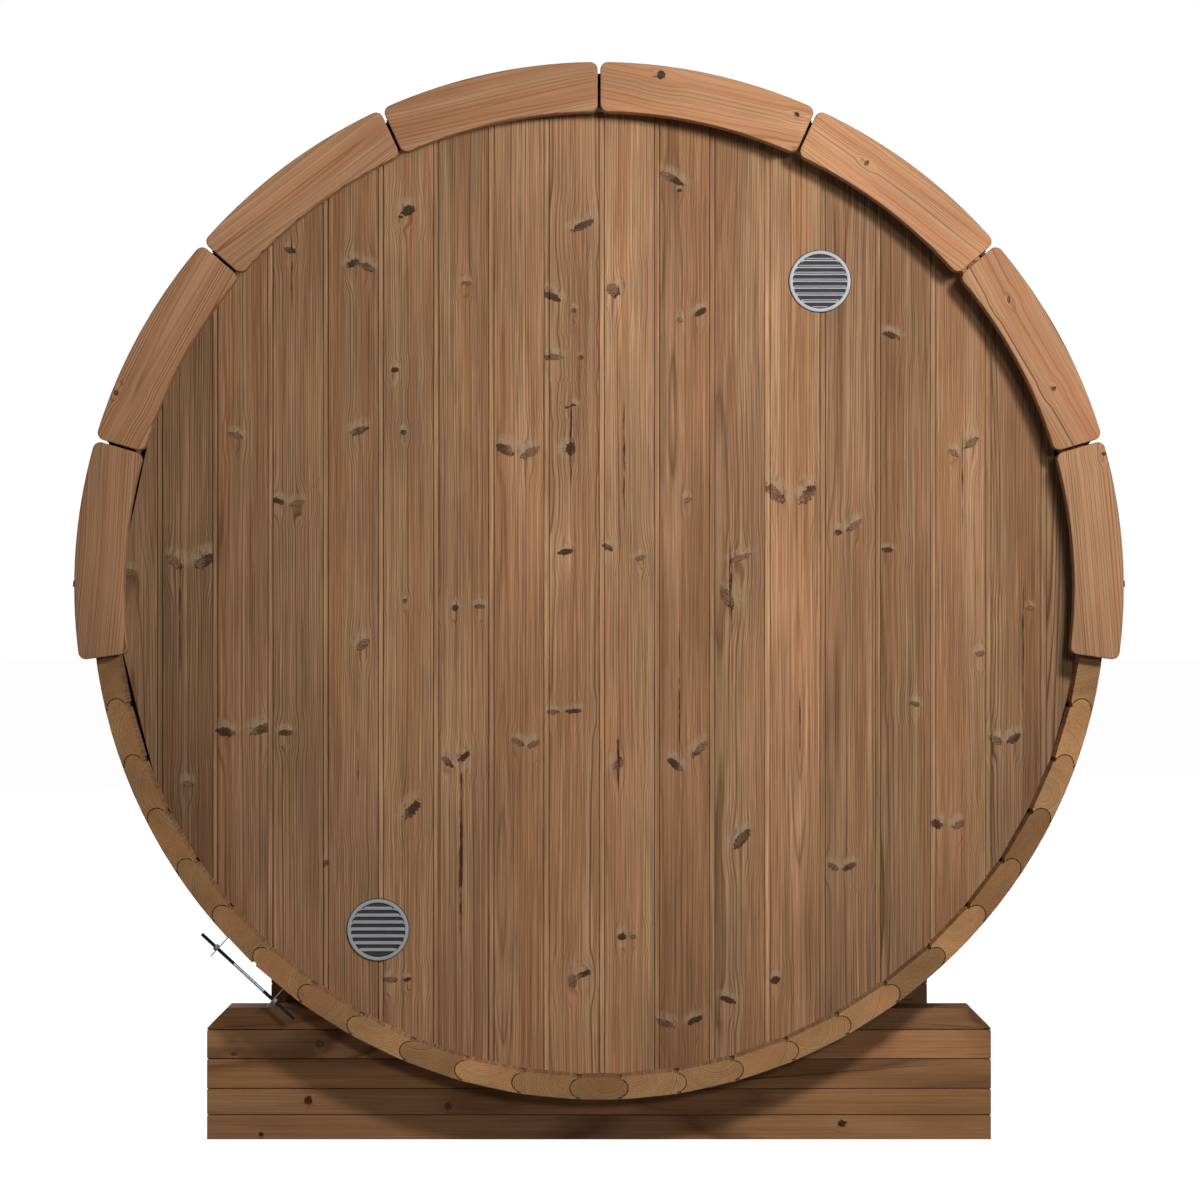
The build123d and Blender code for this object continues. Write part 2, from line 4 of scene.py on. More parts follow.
import bmesh
import bpy
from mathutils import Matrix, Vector


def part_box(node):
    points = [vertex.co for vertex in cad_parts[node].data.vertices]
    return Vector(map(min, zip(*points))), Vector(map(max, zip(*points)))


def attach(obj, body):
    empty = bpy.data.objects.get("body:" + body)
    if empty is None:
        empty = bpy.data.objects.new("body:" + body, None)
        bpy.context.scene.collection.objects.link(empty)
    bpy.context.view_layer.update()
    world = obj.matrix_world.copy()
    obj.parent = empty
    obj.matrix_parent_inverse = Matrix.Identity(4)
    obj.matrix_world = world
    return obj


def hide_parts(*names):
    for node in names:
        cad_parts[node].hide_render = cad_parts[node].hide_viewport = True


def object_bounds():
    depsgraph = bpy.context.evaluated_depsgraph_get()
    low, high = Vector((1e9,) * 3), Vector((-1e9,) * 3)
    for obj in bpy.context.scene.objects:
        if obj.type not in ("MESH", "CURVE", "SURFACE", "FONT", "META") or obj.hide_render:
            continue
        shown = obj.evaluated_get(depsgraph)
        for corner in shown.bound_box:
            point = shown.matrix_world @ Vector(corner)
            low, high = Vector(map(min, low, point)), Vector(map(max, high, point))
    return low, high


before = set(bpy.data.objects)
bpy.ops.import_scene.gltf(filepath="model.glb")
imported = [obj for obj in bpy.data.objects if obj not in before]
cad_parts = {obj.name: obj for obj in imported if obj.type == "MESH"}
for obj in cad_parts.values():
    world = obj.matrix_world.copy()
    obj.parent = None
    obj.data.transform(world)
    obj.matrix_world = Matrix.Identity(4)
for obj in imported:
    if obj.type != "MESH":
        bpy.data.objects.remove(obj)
cad_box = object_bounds()

# Cradles. Two stacks of planed heat-treated boards lie on the ground across the barrel,
# hollowed to its curve and bevelled at the top ends, each with a taller saddle board
# screwed to its inner side.
cradle_board_heights = (0.050, 0.053, 0.060, 0.059, 0.044)
cradle_joint = 0.0012
cradle_ease = 0.0020
barrel_radius = 1.0
barrel_axis_height = 1.102
seat_clearance = 0.0003
seat_steps = 48
saddle_tip = 0.004
saddle_grain_height = 0.15
# Saddle board's tone is set low: painted shade for its place deep under the barrel.
saddle_shade_tone = 0.2
top_board = len(cradle_board_heights) - 1
crisp_angle = 38
end_facing = 0.8
slab_edge_steps = 3


def inset(outline, amount):
    """The outline drawn in by an amount all round. Its points run counter-clockwise."""
    drawn = []
    for index, here in enumerate(outline):
        before = Vector(outline[index - 1])
        after = Vector(outline[(index + 1) % len(outline)])
        here = Vector(here)
        arriving = (here - before).normalized()
        leaving = (after - here).normalized()
        inward = Vector((-arriving.y - leaving.y, arriving.x + leaving.x)).normalized()
        slant = max(0.5, inward.dot(Vector((-arriving.y, arriving.x))))
        drawn.append(here + inward * amount / slant)
    return drawn


def new_boards():
    """Empty mesh for a group of boards, with the layers that its grain is drawn from."""
    boards = bmesh.new()
    for layer in ("place", "board", "shake"):
        boards.loops.layers.float_vector.new(layer)
    for layer in ("knot_a", "knot_b"):
        boards.loops.layers.float_color.new(layer)
    return boards


def knot_view(spot, knot):
    """Where a spot of a board lies from a knot: first along the knot's two half axes, then
    straight across and along the board, all counted in the knot's own size.

    A knot is (across, along, half length, half width, tilt in degrees).
    """
    if knot is None:
        return (99, 99, 99, 99)
    across, along, half_length, half_width, tilt = knot
    right = spot[0] - across
    up = spot[2] - along
    turn = radians(tilt)
    size = sqrt(half_length * half_width)
    return (
        (right * cos(turn) + up * sin(turn)) / half_length,
        (up * cos(turn) - right * sin(turn)) / half_width,
        right / size,
        up / size,
    )


def skin(mesh, outlines, smooth=False, slot=0):
    """Faces from each outline to the next, and one across either end.

    Gives the faces of each stretch, an end face last in its own.
    """
    rings = [[mesh.verts.new(point) for point in outline] for outline in outlines]
    spans = []
    for low, high in zip(rings, rings[1:]):
        span = []
        for index in range(len(low)):
            face = mesh.faces.new((low[index - 1], low[index], high[index], high[index - 1]))
            face.smooth = smooth
            span.append(face)
        spans.append(span)
    spans[0].append(mesh.faces.new(rings[0][::-1]))
    spans[-1].append(mesh.faces.new(rings[-1]))
    for span in spans:
        for face in span:
            face.material_index = slot
    return spans


def loft(boards, levels, to_place, board, knots=None, end_grain=(False, False)):
    """Board through a list of outlines. Each span between two of them has its own knots.

    to_place turns a point into across, through and along the grain, and board holds the
    three numbers that make one board differ from the next. End faces may be end grain.
    """
    spans = skin(boards, levels)
    for end, span in ((0, spans[0]), (1, spans[-1])):
        span[-1].material_index = 1 if end_grain[end] else 0
    vectors = boards.loops.layers.float_vector
    colors = boards.loops.layers.float_color
    for index, span in enumerate(spans):
        first, second, shake = (knots[index] if knots else None) or (None, None, None)
        for face in span:
            face.smooth = True
            for corner in face.loops:
                spot = to_place(corner.vert.co)
                corner[vectors["place"]] = spot
                corner[vectors["board"]] = board
                corner[vectors["shake"]] = knot_view(spot, shake)[:3]
                corner[colors["knot_a"]] = knot_view(spot, first)
                corner[colors["knot_b"]] = knot_view(spot, second)


def sawn_slab(boards, outline, low, high, ease, to_world, to_place, board, knots=None, ends=()):
    """Slab sawn to an outline, from low to high through its thickness, with rounded edges."""
    below = []
    above = []
    for index in range(slab_edge_steps + 1):
        turn = pi / 2 * index / slab_edge_steps
        drawn = inset(outline, ease * (1 - sin(turn)))
        below.append([to_world(point, low + ease * (1 - cos(turn))) for point in drawn])
        above.append([to_world(point, high - ease * (1 - cos(turn))) for point in drawn])
    levels = below + above[::-1]
    first = len(boards.faces)
    loft(boards, levels, to_place, board, [knots] * (len(levels) - 1))
    if ends:
        boards.faces.ensure_lookup_table()
        for face in boards.faces[first:]:
            face.normal_update()
            if abs(face.normal.dot(Vector(ends))) > end_facing:
                face.material_index = 1


def across_barrel(point, y):
    """Corner of an upright outline, at a place along the barrel."""
    return (point[0], y, point[1])


def lying(height):
    """Reads a board's grain along X, about a height."""
    return lambda spot: (spot[2] - height, spot[1], spot[0])


def own_look(dice):
    """The three numbers that make one board differ from the next."""
    return (dice.random(), dice.random(), dice.random())


def finished(name, boards, *materials):
    """Object of the boards, shaded smooth over its rounded edges and crisp elsewhere."""
    bmesh.ops.recalc_face_normals(boards, faces=boards.faces)
    mesh = bpy.data.meshes.new(name)
    boards.to_mesh(mesh)
    boards.free()
    mesh.set_sharp_from_angle(angle=radians(crisp_angle))
    for material in materials:
        mesh.materials.append(material)
    piece = bpy.data.objects.new(name, mesh)
    bpy.context.scene.collection.objects.link(piece)
    return piece


def new_group(name, takes, gives):
    """Empty shader group with its named inputs and outputs."""
    tree = bpy.data.node_groups.new(name, "ShaderNodeTree")
    for socket, kind, value in takes:
        made = tree.interface.new_socket(socket, in_out="INPUT", socket_type="NodeSocket" + kind)
        if value is not None:
            made.default_value = value
    for socket, kind in gives:
        tree.interface.new_socket(socket, in_out="OUTPUT", socket_type="NodeSocket" + kind)
    return tree


def put(tree, kind, feeds=(), **settings):
    """Puts a node in a tree. feeds are its inputs by place or name, as values or sockets."""
    made = tree.nodes.new("ShaderNode" + kind)
    for key, value in settings.items():
        setattr(made, key, value)
    pairs = feeds.items() if isinstance(feeds, dict) else enumerate(feeds)
    for key, value in pairs:
        if isinstance(value, bpy.types.NodeSocket):
            tree.links.new(value, made.inputs[key])
        elif value is not None:
            made.inputs[key].default_value = value
    return made


def reckon(tree, operation, *values):
    """One step of arithmetic in a shader tree."""
    return put(tree, "Math", values, operation=operation).outputs[0]


def ramp(tree, value, *stops):
    """Grey ramp over a value, from (position, grey) stops."""
    made = put(tree, "ValToRGB", (value,))
    line = made.color_ramp.elements
    while len(line) < len(stops):
        line.new(1)
    for stop, (position, grey) in zip(line, stops):
        stop.position = position
        stop.color = (grey, grey, grey, 1)
    return made.outputs[0]


def blend(tree, share, first, second, way="MIX"):
    """Colour mix in a shader tree."""
    made = put(tree, "Mix", data_type="RGBA", blend_type=way)
    for key, value in ((0, share), (6, first), (7, second)):
        if isinstance(value, bpy.types.NodeSocket):
            tree.links.new(value, made.inputs[key])
        else:
            made.inputs[key].default_value = value
    return made.outputs[2]


def emboss(tree, surface, height, strength, distance):
    """Gives a surface a fine relief."""
    bump = put(tree, "Bump", {"Strength": strength, "Distance": distance, "Height": height})
    tree.links.new(bump.outputs[0], surface.inputs["Normal"])


timber_grain = new_group(
    "timber_grain",
    (
        ("Place", "Vector", None),
        ("Board", "Vector", None),
        ("Knot A", "Vector", None),
        ("Knot A Up", "Float", 99.0),
        ("Knot B", "Vector", None),
        ("Knot B Up", "Float", 99.0),
        ("Shake", "Vector", None),
        ("Ring Width", "Float", 0.005),
        ("Wander", "Float", 0.03),
        ("Pith Depth", "Float", 0.06),
        ("Ring Contrast", "Float", 0.5),
        ("Streaks", "Float", 1.0),
        ("Early Wood", "Color", None),
        ("Late Wood", "Color", None),
        ("Warm Wood", "Color", None),
        ("Knot Wood", "Color", None),
        ("Pale Wood", "Color", None),
    ),
    (("Color", "Color"), ("Roughness", "Float"), ("Height", "Float")),
)


def fill_timber_grain(tree):
    """Softwood cut from a round log: growth rings about a wandering pith, bent round knots."""
    bend_by_knot = 0.0095
    bark_ring = (0.020, 0.010, 0.006, 1)
    crack_dark = (0.035, 0.017, 0.009, 1)
    take = tree.nodes.new("NodeGroupInput").outputs
    gives = tree.nodes.new("NodeGroupOutput")
    place = put(tree, "SeparateXYZ", (take["Place"],)).outputs
    board = put(tree, "SeparateXYZ", (take["Board"],)).outputs
    shift = put(tree, "VectorMath", (take["Board"], (7.3, 5.1, 9.7)), operation="MULTIPLY").outputs[0]
    far = put(tree, "VectorMath", (take["Place"], shift), operation="ADD").outputs[0]

    def times(first, second):
        """Product of two values."""
        return reckon(tree, "MULTIPLY", first, second)

    def line(value, slope, start):
        """A value times a slope, from a start."""
        return reckon(tree, "MULTIPLY_ADD", value, slope, start)

    def most(first, second):
        """Greater of two values."""
        return reckon(tree, "MAXIMUM", first, second)

    def cloud(scale, detail=2.0, at=far):
        """Noise drawn out along the board."""
        stretched = put(tree, "VectorMath", (at, scale), operation="MULTIPLY").outputs[0]
        feeds = {"Vector": stretched, "Scale": 1.0, "Detail": detail, "Roughness": 0.55}
        return put(tree, "TexNoise", feeds).outputs[0]

    def swing(scale, detail=2.0):
        """Noise about nought."""
        return reckon(tree, "SUBTRACT", cloud(scale, detail), 0.5)

    def fade(value, outside, inside):
        """One inside a limit and nothing outside another, with a soft step between."""
        feeds = (value, outside, inside, 0.0, 1.0)
        return put(tree, "MapRange", feeds, interpolation_type="SMOOTHSTEP").outputs[0]

    def length(first, second):
        """Length of a flat vector."""
        flat = put(tree, "CombineXYZ", (first, second)).outputs[0]
        return put(tree, "VectorMath", (flat,), operation="LENGTH").outputs["Value"]

    def shaded(color, share):
        """Colour made lighter or darker."""
        grey = put(tree, "CombineXYZ", (share, share, share)).outputs[0]
        return blend(tree, 1.0, color, grey, "MULTIPLY")

    across = line(swing((2.2, 2.2, 0.85)), take["Wander"], place[0])
    across = line(swing((18, 18, 4.5)), 0.0018, across)

    rag = line(cloud((210, 210, 150), 4.0), 1.5, -0.75)
    knot, rim, halo = 0.0, 0.0, 0.0
    for name in ("Knot A", "Knot B"):
        seen = put(tree, "SeparateXYZ", (take[name],)).outputs
        up = take[name + " Up"]
        stretch = put(tree, "MapRange", (up, -1.0, 1.5, 0.18, 0.5)).outputs[0]
        flow = reckon(tree, "POWER", most(length(seen[2], times(up, stretch)), 1.0), 1.6)
        pull = times(reckon(tree, "DIVIDE", bend_by_knot, flow), fade(reckon(tree, "ABSOLUTE", up), 7.0, 2.0))
        across = reckon(tree, "SUBTRACT", across, times(pull, seen[2]))
        worn = reckon(tree, "ADD", length(seen[0], seen[1]), rag)
        knot = most(knot, fade(worn, 1.1, 0.9))
        rings = reckon(tree, "FRACT", times(worn, 2.1))
        under = put(tree, "MapRange", (up, -1.0, 1.0, 1.0, 0.4)).outputs[0]
        rim = most(rim, times(times(fade(worn, 1.2, 0.9), fade(rings, 0.5, 0.95)), under))
        above = length(times(seen[0], 0.8), line(seen[1], 0.62, -0.85))
        halo = most(halo, fade(line(rag, 0.5, above), 1.5, 0.55))

    pith_across = line(board[1], 0.14, -0.07)
    pith_depth = line(board[2], take["Pith Depth"], 0.012)
    pith_depth = line(swing((0.3, 0.3, 0.9), 1.0), 0.045, pith_depth)
    radius = length(reckon(tree, "SUBTRACT", across, pith_across), reckon(tree, "ADD", place[1], pith_depth))

    def yearly(scale, offset, detail):
        """Noise that changes from one growth ring to the next."""
        feeds = {"W": line(offset, 9.0, times(radius, scale)), "Scale": 1.0, "Detail": detail}
        return put(tree, "TexNoise", feeds, noise_dimensions="1D").outputs[0]

    count = line(yearly(70.0, board[0], 2.0), 2.4, reckon(tree, "DIVIDE", radius, take["Ring Width"]))
    season = reckon(tree, "FRACT", count)
    late = ramp(tree, season, (0.0, 0.25), (0.12, 0.0), (0.62, 0.05), (0.9, 1.0), (1.0, 0.25))
    late = times(late, times(yearly(55.0, board[1], 1.0), 1.8))

    zone_at = put(tree, "CombineXYZ", (radius, times(place[2], 0.02), board[0])).outputs[0]
    warm = fade(cloud((34, 26, 17), 2.0, zone_at), 0.4, 0.62)
    fibre = cloud((620, 620, 8), 2.0)

    def lively(noise, strength):
        """A noise as a factor about one, as strong as the wood is streaky."""
        return line(reckon(tree, "SUBTRACT", noise, 0.5), times(take["Streaks"], strength), 1.0)

    color = blend(tree, times(late, take["Ring Contrast"]), take["Early Wood"], take["Late Wood"])
    color = blend(tree, times(warm, 0.6), color, take["Warm Wood"])
    tone = times(line(board[0], 0.6, 0.7), line(cloud((7, 7, 1.6), 3.0), 1.0, 0.5))
    tone = times(tone, lively(fibre, 1.2))
    tone = times(tone, lively(cloud((290, 290, 2.4), 3.0), 1.6))
    color = shaded(color, tone)
    vein = times(fade(cloud((320, 320, 5.5), 3.0), 0.56, 0.70), times(take["Streaks"], 0.5))
    color = blend(tree, vein, color, take["Late Wood"])
    hatch = times(halo, line(fibre, 1.2, -0.05))
    color = blend(tree, times(hatch, 0.85), color, take["Pale Wood"])
    stain = times(most(knot, halo), fade(cloud((150, 150, 60), 4.0), 0.5, 0.68))
    color = blend(tree, times(stain, 0.6), color, take["Knot Wood"])
    core = line(fade(cloud((23, 23, 17), 1.0), 0.40, 0.58), 1.4, 0.3)
    core = times(core, line(cloud((520, 520, 380), 3.0), 3.4, -0.7))
    color = blend(tree, times(knot, 0.92), color, shaded(take["Knot Wood"], core))
    color = blend(tree, rim, color, bark_ring)

    split = put(tree, "SeparateXYZ", (take["Shake"],)).outputs
    apart = length(split[0], line(swing((30, 30, 14), 4.0), 3.0, split[1]))
    crack = times(fade(apart, 1.3, 0.75), ramp(tree, cloud((90, 90, 30)), (0.35, 0.15), (0.55, 1.0)))
    color = blend(tree, crack, color, crack_dark)
    tree.links.new(color, gives.inputs["Color"])

    rough = line(fibre, 0.12, line(late, -0.08, 0.68))
    tree.links.new(line(knot, -0.14, rough), gives.inputs["Roughness"])
    height = line(knot, 0.5, line(late, 0.35, times(fibre, 0.8)))
    tree.links.new(line(crack, -3.0, height), gives.inputs["Height"])


fill_timber_grain(timber_grain)


def timber(name, early, late, warm, knot, ring_width=0.0045, wander=0.03, pith_depth=0.06,
           contrast=0.5, streaks=1.0, pale=None, relief=0.0004):
    """Planed softwood, drawn from the grain layers of its boards."""
    material = bpy.data.materials.new(name)
    material.use_nodes = True
    tree = material.node_tree
    surface = tree.nodes["Principled BSDF"]
    grain = put(tree, "Group", node_tree=timber_grain)
    for socket, value in (("Early Wood", early), ("Late Wood", late), ("Warm Wood", warm),
                          ("Knot Wood", knot), ("Pale Wood", pale or early)):
        grain.inputs[socket].default_value = (*value, 1)
    for socket, value in (("Ring Width", ring_width), ("Wander", wander), ("Pith Depth", pith_depth),
                          ("Ring Contrast", contrast), ("Streaks", streaks)):
        grain.inputs[socket].default_value = value
    for socket, layer in (("Place", "place"), ("Board", "board"), ("Knot A", "knot_a"),
                          ("Knot B", "knot_b"), ("Shake", "shake")):
        seen = put(tree, "Attribute", attribute_name=layer)
        tree.links.new(seen.outputs["Vector"], grain.inputs[socket])
        if socket.startswith("Knot"):
            tree.links.new(seen.outputs["Alpha"], grain.inputs[socket + " Up"])
    tree.links.new(grain.outputs["Color"], surface.inputs["Base Color"])
    tree.links.new(grain.outputs["Roughness"], surface.inputs["Roughness"])
    emboss(tree, surface, grain.outputs["Height"], 0.6, relief)
    surface.inputs["Specular IOR Level"].default_value = 0.06
    return material


cradle_wood = timber("cradle_wood", (0.240, 0.121, 0.055), (0.095, 0.041, 0.017), (0.215, 0.097, 0.040),
                     (0.045, 0.021, 0.012), ring_width=0.0055, wander=0.06, pith_depth=0.03, contrast=0.9,
                     streaks=0.5)
cradle_end = timber("cradle_end_grain", (0.20, 0.11, 0.055), (0.10, 0.048, 0.022), (0.18, 0.088, 0.042),
                    (0.04, 0.02, 0.012), ring_width=0.0045, contrast=0.9, streaks=0.4)

dice = Random(11)
cradle_knots = {
    ("rear", 4, -1): (None, None, None),
    ("rear", 3, -1): ((-0.564, 0.0, 0.009, 0.007, 0), (-0.735, -0.020, 0.006, 0.004, 0), None),
    ("rear", 2, 0): ((-0.24, -0.004, 0.009, 0.008, 0), (0.53, 0.0, 0.012, 0.006, 20), None),
    ("rear", 1, 0): ((-0.586, 0.0026, 0.009, 0.009, 0), (-0.304, -0.009, 0.007, 0.008, 0), None),
    ("rear", 0, 0): ((-0.681, -0.0137, 0.005, 0.0045, 0), (0.49, 0.008, 0.009, 0.007, 0), None),
}


def board_marks(dice, length, width, spacing=0.55):
    """Two knots and a shake at random places on a board of a length and a width."""
    marks = []
    for _ in range(2):
        across = dice.uniform(-0.4, 0.4) * width
        along = dice.uniform(-0.5, 0.5) * length
        size = dice.uniform(0.004, 0.010)
        marks.append((across, along, size * dice.uniform(1, 1.8), size, dice.uniform(-40, 40)))
    across = dice.uniform(-0.3, 0.3) * width
    along = dice.uniform(-0.4, 0.4) * length
    if dice.random() < 0.4:
        marks.append((across, along, dice.uniform(0.04, 0.12), 0.0012, 90))
    else:
        marks.append(None)
    return marks


def circle_drop(x, radius, centre_height):
    """Height at x of the lower half of a circle."""
    return centre_height - sqrt(max(0.0, radius**2 - x**2))


for end in ("rear", "front"):
    low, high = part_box(end + "_cradle")
    half = high.x
    seat_radius = barrel_radius + seat_clearance
    boards = new_boards()
    foot = 0
    for index, height in enumerate(cradle_board_heights):
        top = foot + height - cradle_joint
        bevel = top - foot - cradle_ease if index == top_board else cradle_ease
        top_x = sqrt(max(0.0, seat_radius**2 - (barrel_axis_height - top) ** 2))
        foot_x = sqrt(max(0.0, seat_radius**2 - (barrel_axis_height - foot) ** 2))
        for side in ((-1, 1) if top_x > 0 and foot_x > 0 else (0,)):
            if side == 0:
                outline = [(-half, foot), (half, foot), (half, top - bevel), (half - bevel, top)]
                if top_x > 0:
                    for step in range(seat_steps + 1):
                        x = top_x * (1 - 2 * step / seat_steps)
                        outline.append((x, circle_drop(x, seat_radius, barrel_axis_height)))
                outline += [(bevel - half, top), (-half, top - bevel)]
            else:
                outline = [(foot_x, foot), (half, foot), (half, top - bevel), (half - bevel, top)]
                for step in range(seat_steps // 4):
                    x = top_x + (foot_x - top_x) * step / (seat_steps // 4)
                    outline.append((x, circle_drop(x, seat_radius, barrel_axis_height)))
                if side < 0:
                    outline = [(-x, z) for x, z in outline[::-1]]
            knots = cradle_knots.get((end, index, side))
            if knots is None:
                knots = board_marks(dice, half, height)
            knots = [knot and (knot[1], knot[0], knot[2], knot[3], 90 + knot[4]) for knot in knots]
            sawn_slab(
                boards, outline, low.y, high.y, cradle_ease, across_barrel, lying((foot + top) / 2),
                own_look(dice), knots, ends=(1, 0, 0),
            )
        foot += height
    cradle = finished(end + "_cradle_boards", boards, cradle_wood, cradle_end)
    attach(cradle, "root")
    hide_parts(end + "_cradle")

    low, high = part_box(end + "_saddle_board")
    boards = new_boards()
    outline = [(-high.x, 0), (high.x, 0), (high.x, high.z), (high.x - saddle_tip, high.z)]
    for step in range(1, seat_steps):
        x = (high.x - saddle_tip) * (1 - 2 * step / seat_steps)
        outline.append((x, circle_drop(x, seat_radius, barrel_axis_height)))
    outline += [(saddle_tip - high.x, high.z), (-high.x, high.z)]
    sawn_slab(
        boards, outline, low.y, high.y, cradle_ease, across_barrel, lying(saddle_grain_height),
        (saddle_shade_tone, dice.random(), dice.random()), None, ends=(1, 0, 0),
    )
    saddle = finished(end + "_saddle_plank", boards, cradle_wood, cradle_end)
    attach(saddle, "root")
    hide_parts(end + "_saddle_board")


# Staves. Long planed boards stand side by side round the barrel, a half-round bead on
# one edge in the cove of the next, with a shallow notch beside each bead inside and out.
stave_thickness = 0.042
stave_width = 0.1153
starter_width = 0.090
bead_depth = 0.0125
notch_width = 0.010
notch_depth = 0.004
notch_slope = 0.002
cove_lip = 0.0012
stave_joint = 0.0003
bead_steps = 10
stave_length = 1.8
stave_ease = 0.001
stave_mid_radius = barrel_radius - stave_thickness / 2
stave_inner_radius = barrel_radius - stave_thickness
end_staves = 3
shortest_stretch = 0.28
longest_stretch = 0.5
knot_margin = 0.1

stave_wood = timber("stave_wood", (0.27, 0.155, 0.082), (0.13, 0.062, 0.029), (0.24, 0.108, 0.048),
                    (0.045, 0.022, 0.013), ring_width=0.0040, contrast=0.75)
stave_end = timber("stave_end_grain", (0.285, 0.158, 0.070), (0.14, 0.064, 0.027), (0.25, 0.115, 0.045),
                   (0.06, 0.03, 0.015), ring_width=0.0036, contrast=1.0, streaks=0.4, relief=0.0002)


def rim_point(climb, radius, ahead=0.0):
    """Point in the barrel's section, climb degrees up from straight down, ahead up the rim."""
    turn = radians(climb)
    return (radius * sin(turn) + ahead * cos(turn), ahead * sin(turn) - radius * cos(turn))


def stave_edge(climb, shape, side):
    """Outline of a stave's long edge, from its inner face to its outer one."""
    bead_half = stave_thickness / 2 - notch_depth
    bead_radius = (bead_half**2 + bead_depth**2) / (2 * bead_depth)
    centre = bead_radius - bead_depth
    if shape == "bead":
        line, radius, way = 0.0, bead_radius, side
        corner, step, drop = notch_width, notch_width - notch_slope, notch_depth
    else:
        line, radius, way = stave_joint, bead_radius + stave_joint, -side
        corner, step, drop = stave_joint + cove_lip, stave_joint, cove_lip
    sweep = acos((centre + line) / radius)
    edge = [
        rim_point(climb, stave_inner_radius, -side * corner),
        rim_point(climb, stave_inner_radius + drop, -side * step),
    ]
    for index in range(bead_steps + 1):
        turn = sweep * (2 * index / bead_steps - 1)
        height = stave_mid_radius + radius * sin(turn)
        edge.append(rim_point(climb, height, way * (radius * cos(turn) - centre)))
    edge.append(rim_point(climb, barrel_radius - drop, -side * step))
    edge.append(rim_point(climb, barrel_radius, -side * corner))
    return edge


def add_stave(boards, dice, start, start_shape, end, end_shape):
    """Stave between two joints of the ring, with a knot in each stretch of its length."""
    outline = stave_edge(start, start_shape, -1) + stave_edge(end, end_shape, 1)[::-1]
    outline = outline[::-1]
    turn = radians((start + end) / 2)
    tangent = (cos(turn), sin(turn))
    outward = (sin(turn), -cos(turn))

    def to_place(spot):
        x, z = spot[0], spot[2] - barrel_axis_height
        return (
            x * tangent[0] + z * tangent[1],
            x * outward[0] + z * outward[1] - stave_mid_radius,
            spot[1],
        )

    half = stave_length / 2
    drawn = inset(outline, stave_ease)
    cuts = [-half + stave_ease]
    while cuts[-1] < half - longest_stretch:
        cuts.append(cuts[-1] + dice.uniform(shortest_stretch, longest_stretch))
    cuts.append(half - stave_ease)
    levels = [[(x, -half, z + barrel_axis_height) for x, z in drawn]]
    levels += [[(x, y, z + barrel_axis_height) for x, z in outline] for y in cuts]
    levels.append([(x, half, z + barrel_axis_height) for x, z in drawn])
    knots = [None]
    for low, high in zip(cuts, cuts[1:]):
        size = dice.uniform(0.004, 0.011)
        middle = dice.uniform(low + knot_margin, high - knot_margin)
        first = (dice.uniform(-0.04, 0.04), middle, size * 1.5, size, dice.uniform(-30, 30))
        second = None
        if dice.random() < 0.35:
            second = (-first[0], middle + 0.01, size * 1.8, size * 0.6, -first[4])
        knots.append((first, second, None))
    knots.append(None)
    board = own_look(dice)
    loft(boards, levels, to_place, board, knots, (True, True))


stave_pitch = degrees(stave_width / stave_mid_radius)
starter_half = degrees(starter_width / 2 / stave_mid_radius)
staves_a_side = int((180 - starter_half) / stave_pitch)
closing_half = 180 - starter_half - staves_a_side * stave_pitch
top_start = staves_a_side - end_staves
outer_group = ceil((top_start - end_staves) / 3)
stave_groups = {
    "bottom_staves": [(-1, 0, end_staves), (1, 0, end_staves)],
    "top_staves": [(-1, top_start, staves_a_side), (1, top_start, staves_a_side)],
}
for side, word in ((-1, "left"), (1, "right")):
    stave_groups[word + "_lower_staves"] = [(side, end_staves, end_staves + outer_group)]
    stave_groups[word + "_middle_staves"] = [(side, end_staves + outer_group, top_start - outer_group)]
    stave_groups[word + "_upper_staves"] = [(side, top_start - outer_group, top_start)]

dice = Random(5)
for node, stretches in stave_groups.items():
    boards = new_boards()
    if node == "bottom_staves":
        add_stave(boards, dice, -starter_half, "bead", starter_half, "bead")
    if node == "top_staves":
        add_stave(boards, dice, 180 - closing_half, "cove", 180 + closing_half, "cove")
    for side, first, last in stretches:
        for index in range(first, last):
            low = starter_half + index * stave_pitch
            if side > 0:
                add_stave(boards, dice, low, "cove", low + stave_pitch, "bead")
            else:
                add_stave(boards, dice, -low - stave_pitch, "bead", -low, "cove")
    staves = finished(node + "_planed", boards, stave_wood, stave_end)
    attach(staves, "root")
    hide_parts(node)


# End walls. Upright boards of heat-treated softwood, full of knots, let into a groove in
# the staves. Each has a shallow notch down the left edge of its outer face.
wall_board_width = 0.110
wall_thickness = 0.042
wall_notch_width = 0.012
wall_notch_depth = 0.004
wall_notch_slope = 0.002
wall_radius = 0.9612
wall_slot_width = 0.0012
wall_slot_depth = 0.007
boards_a_side = 9
front_knot_count = 70
knot_reach = 0.09
knot_swell = 1.2
shake_swell = 1.05

wall_wood = timber("wall_wood", (0.260, 0.150, 0.080), (0.100, 0.047, 0.021), (0.200, 0.090, 0.041),
                   (0.092, 0.046, 0.025), ring_width=0.0040, contrast=0.95, pale=(0.29, 0.205, 0.122))

# Lighter wood for the faces in each board's notch: a painted highlight where the notch floor catches the
# light.
notch_highlight_wood = timber("wall_notch_painted_highlight_wood", (0.285, 0.165, 0.085), (0.19, 0.10, 0.048), (0.25, 0.13, 0.064),
                    (0.075, 0.032, 0.017), ring_width=0.0034, contrast=0.6, pale=(0.29, 0.205, 0.122))

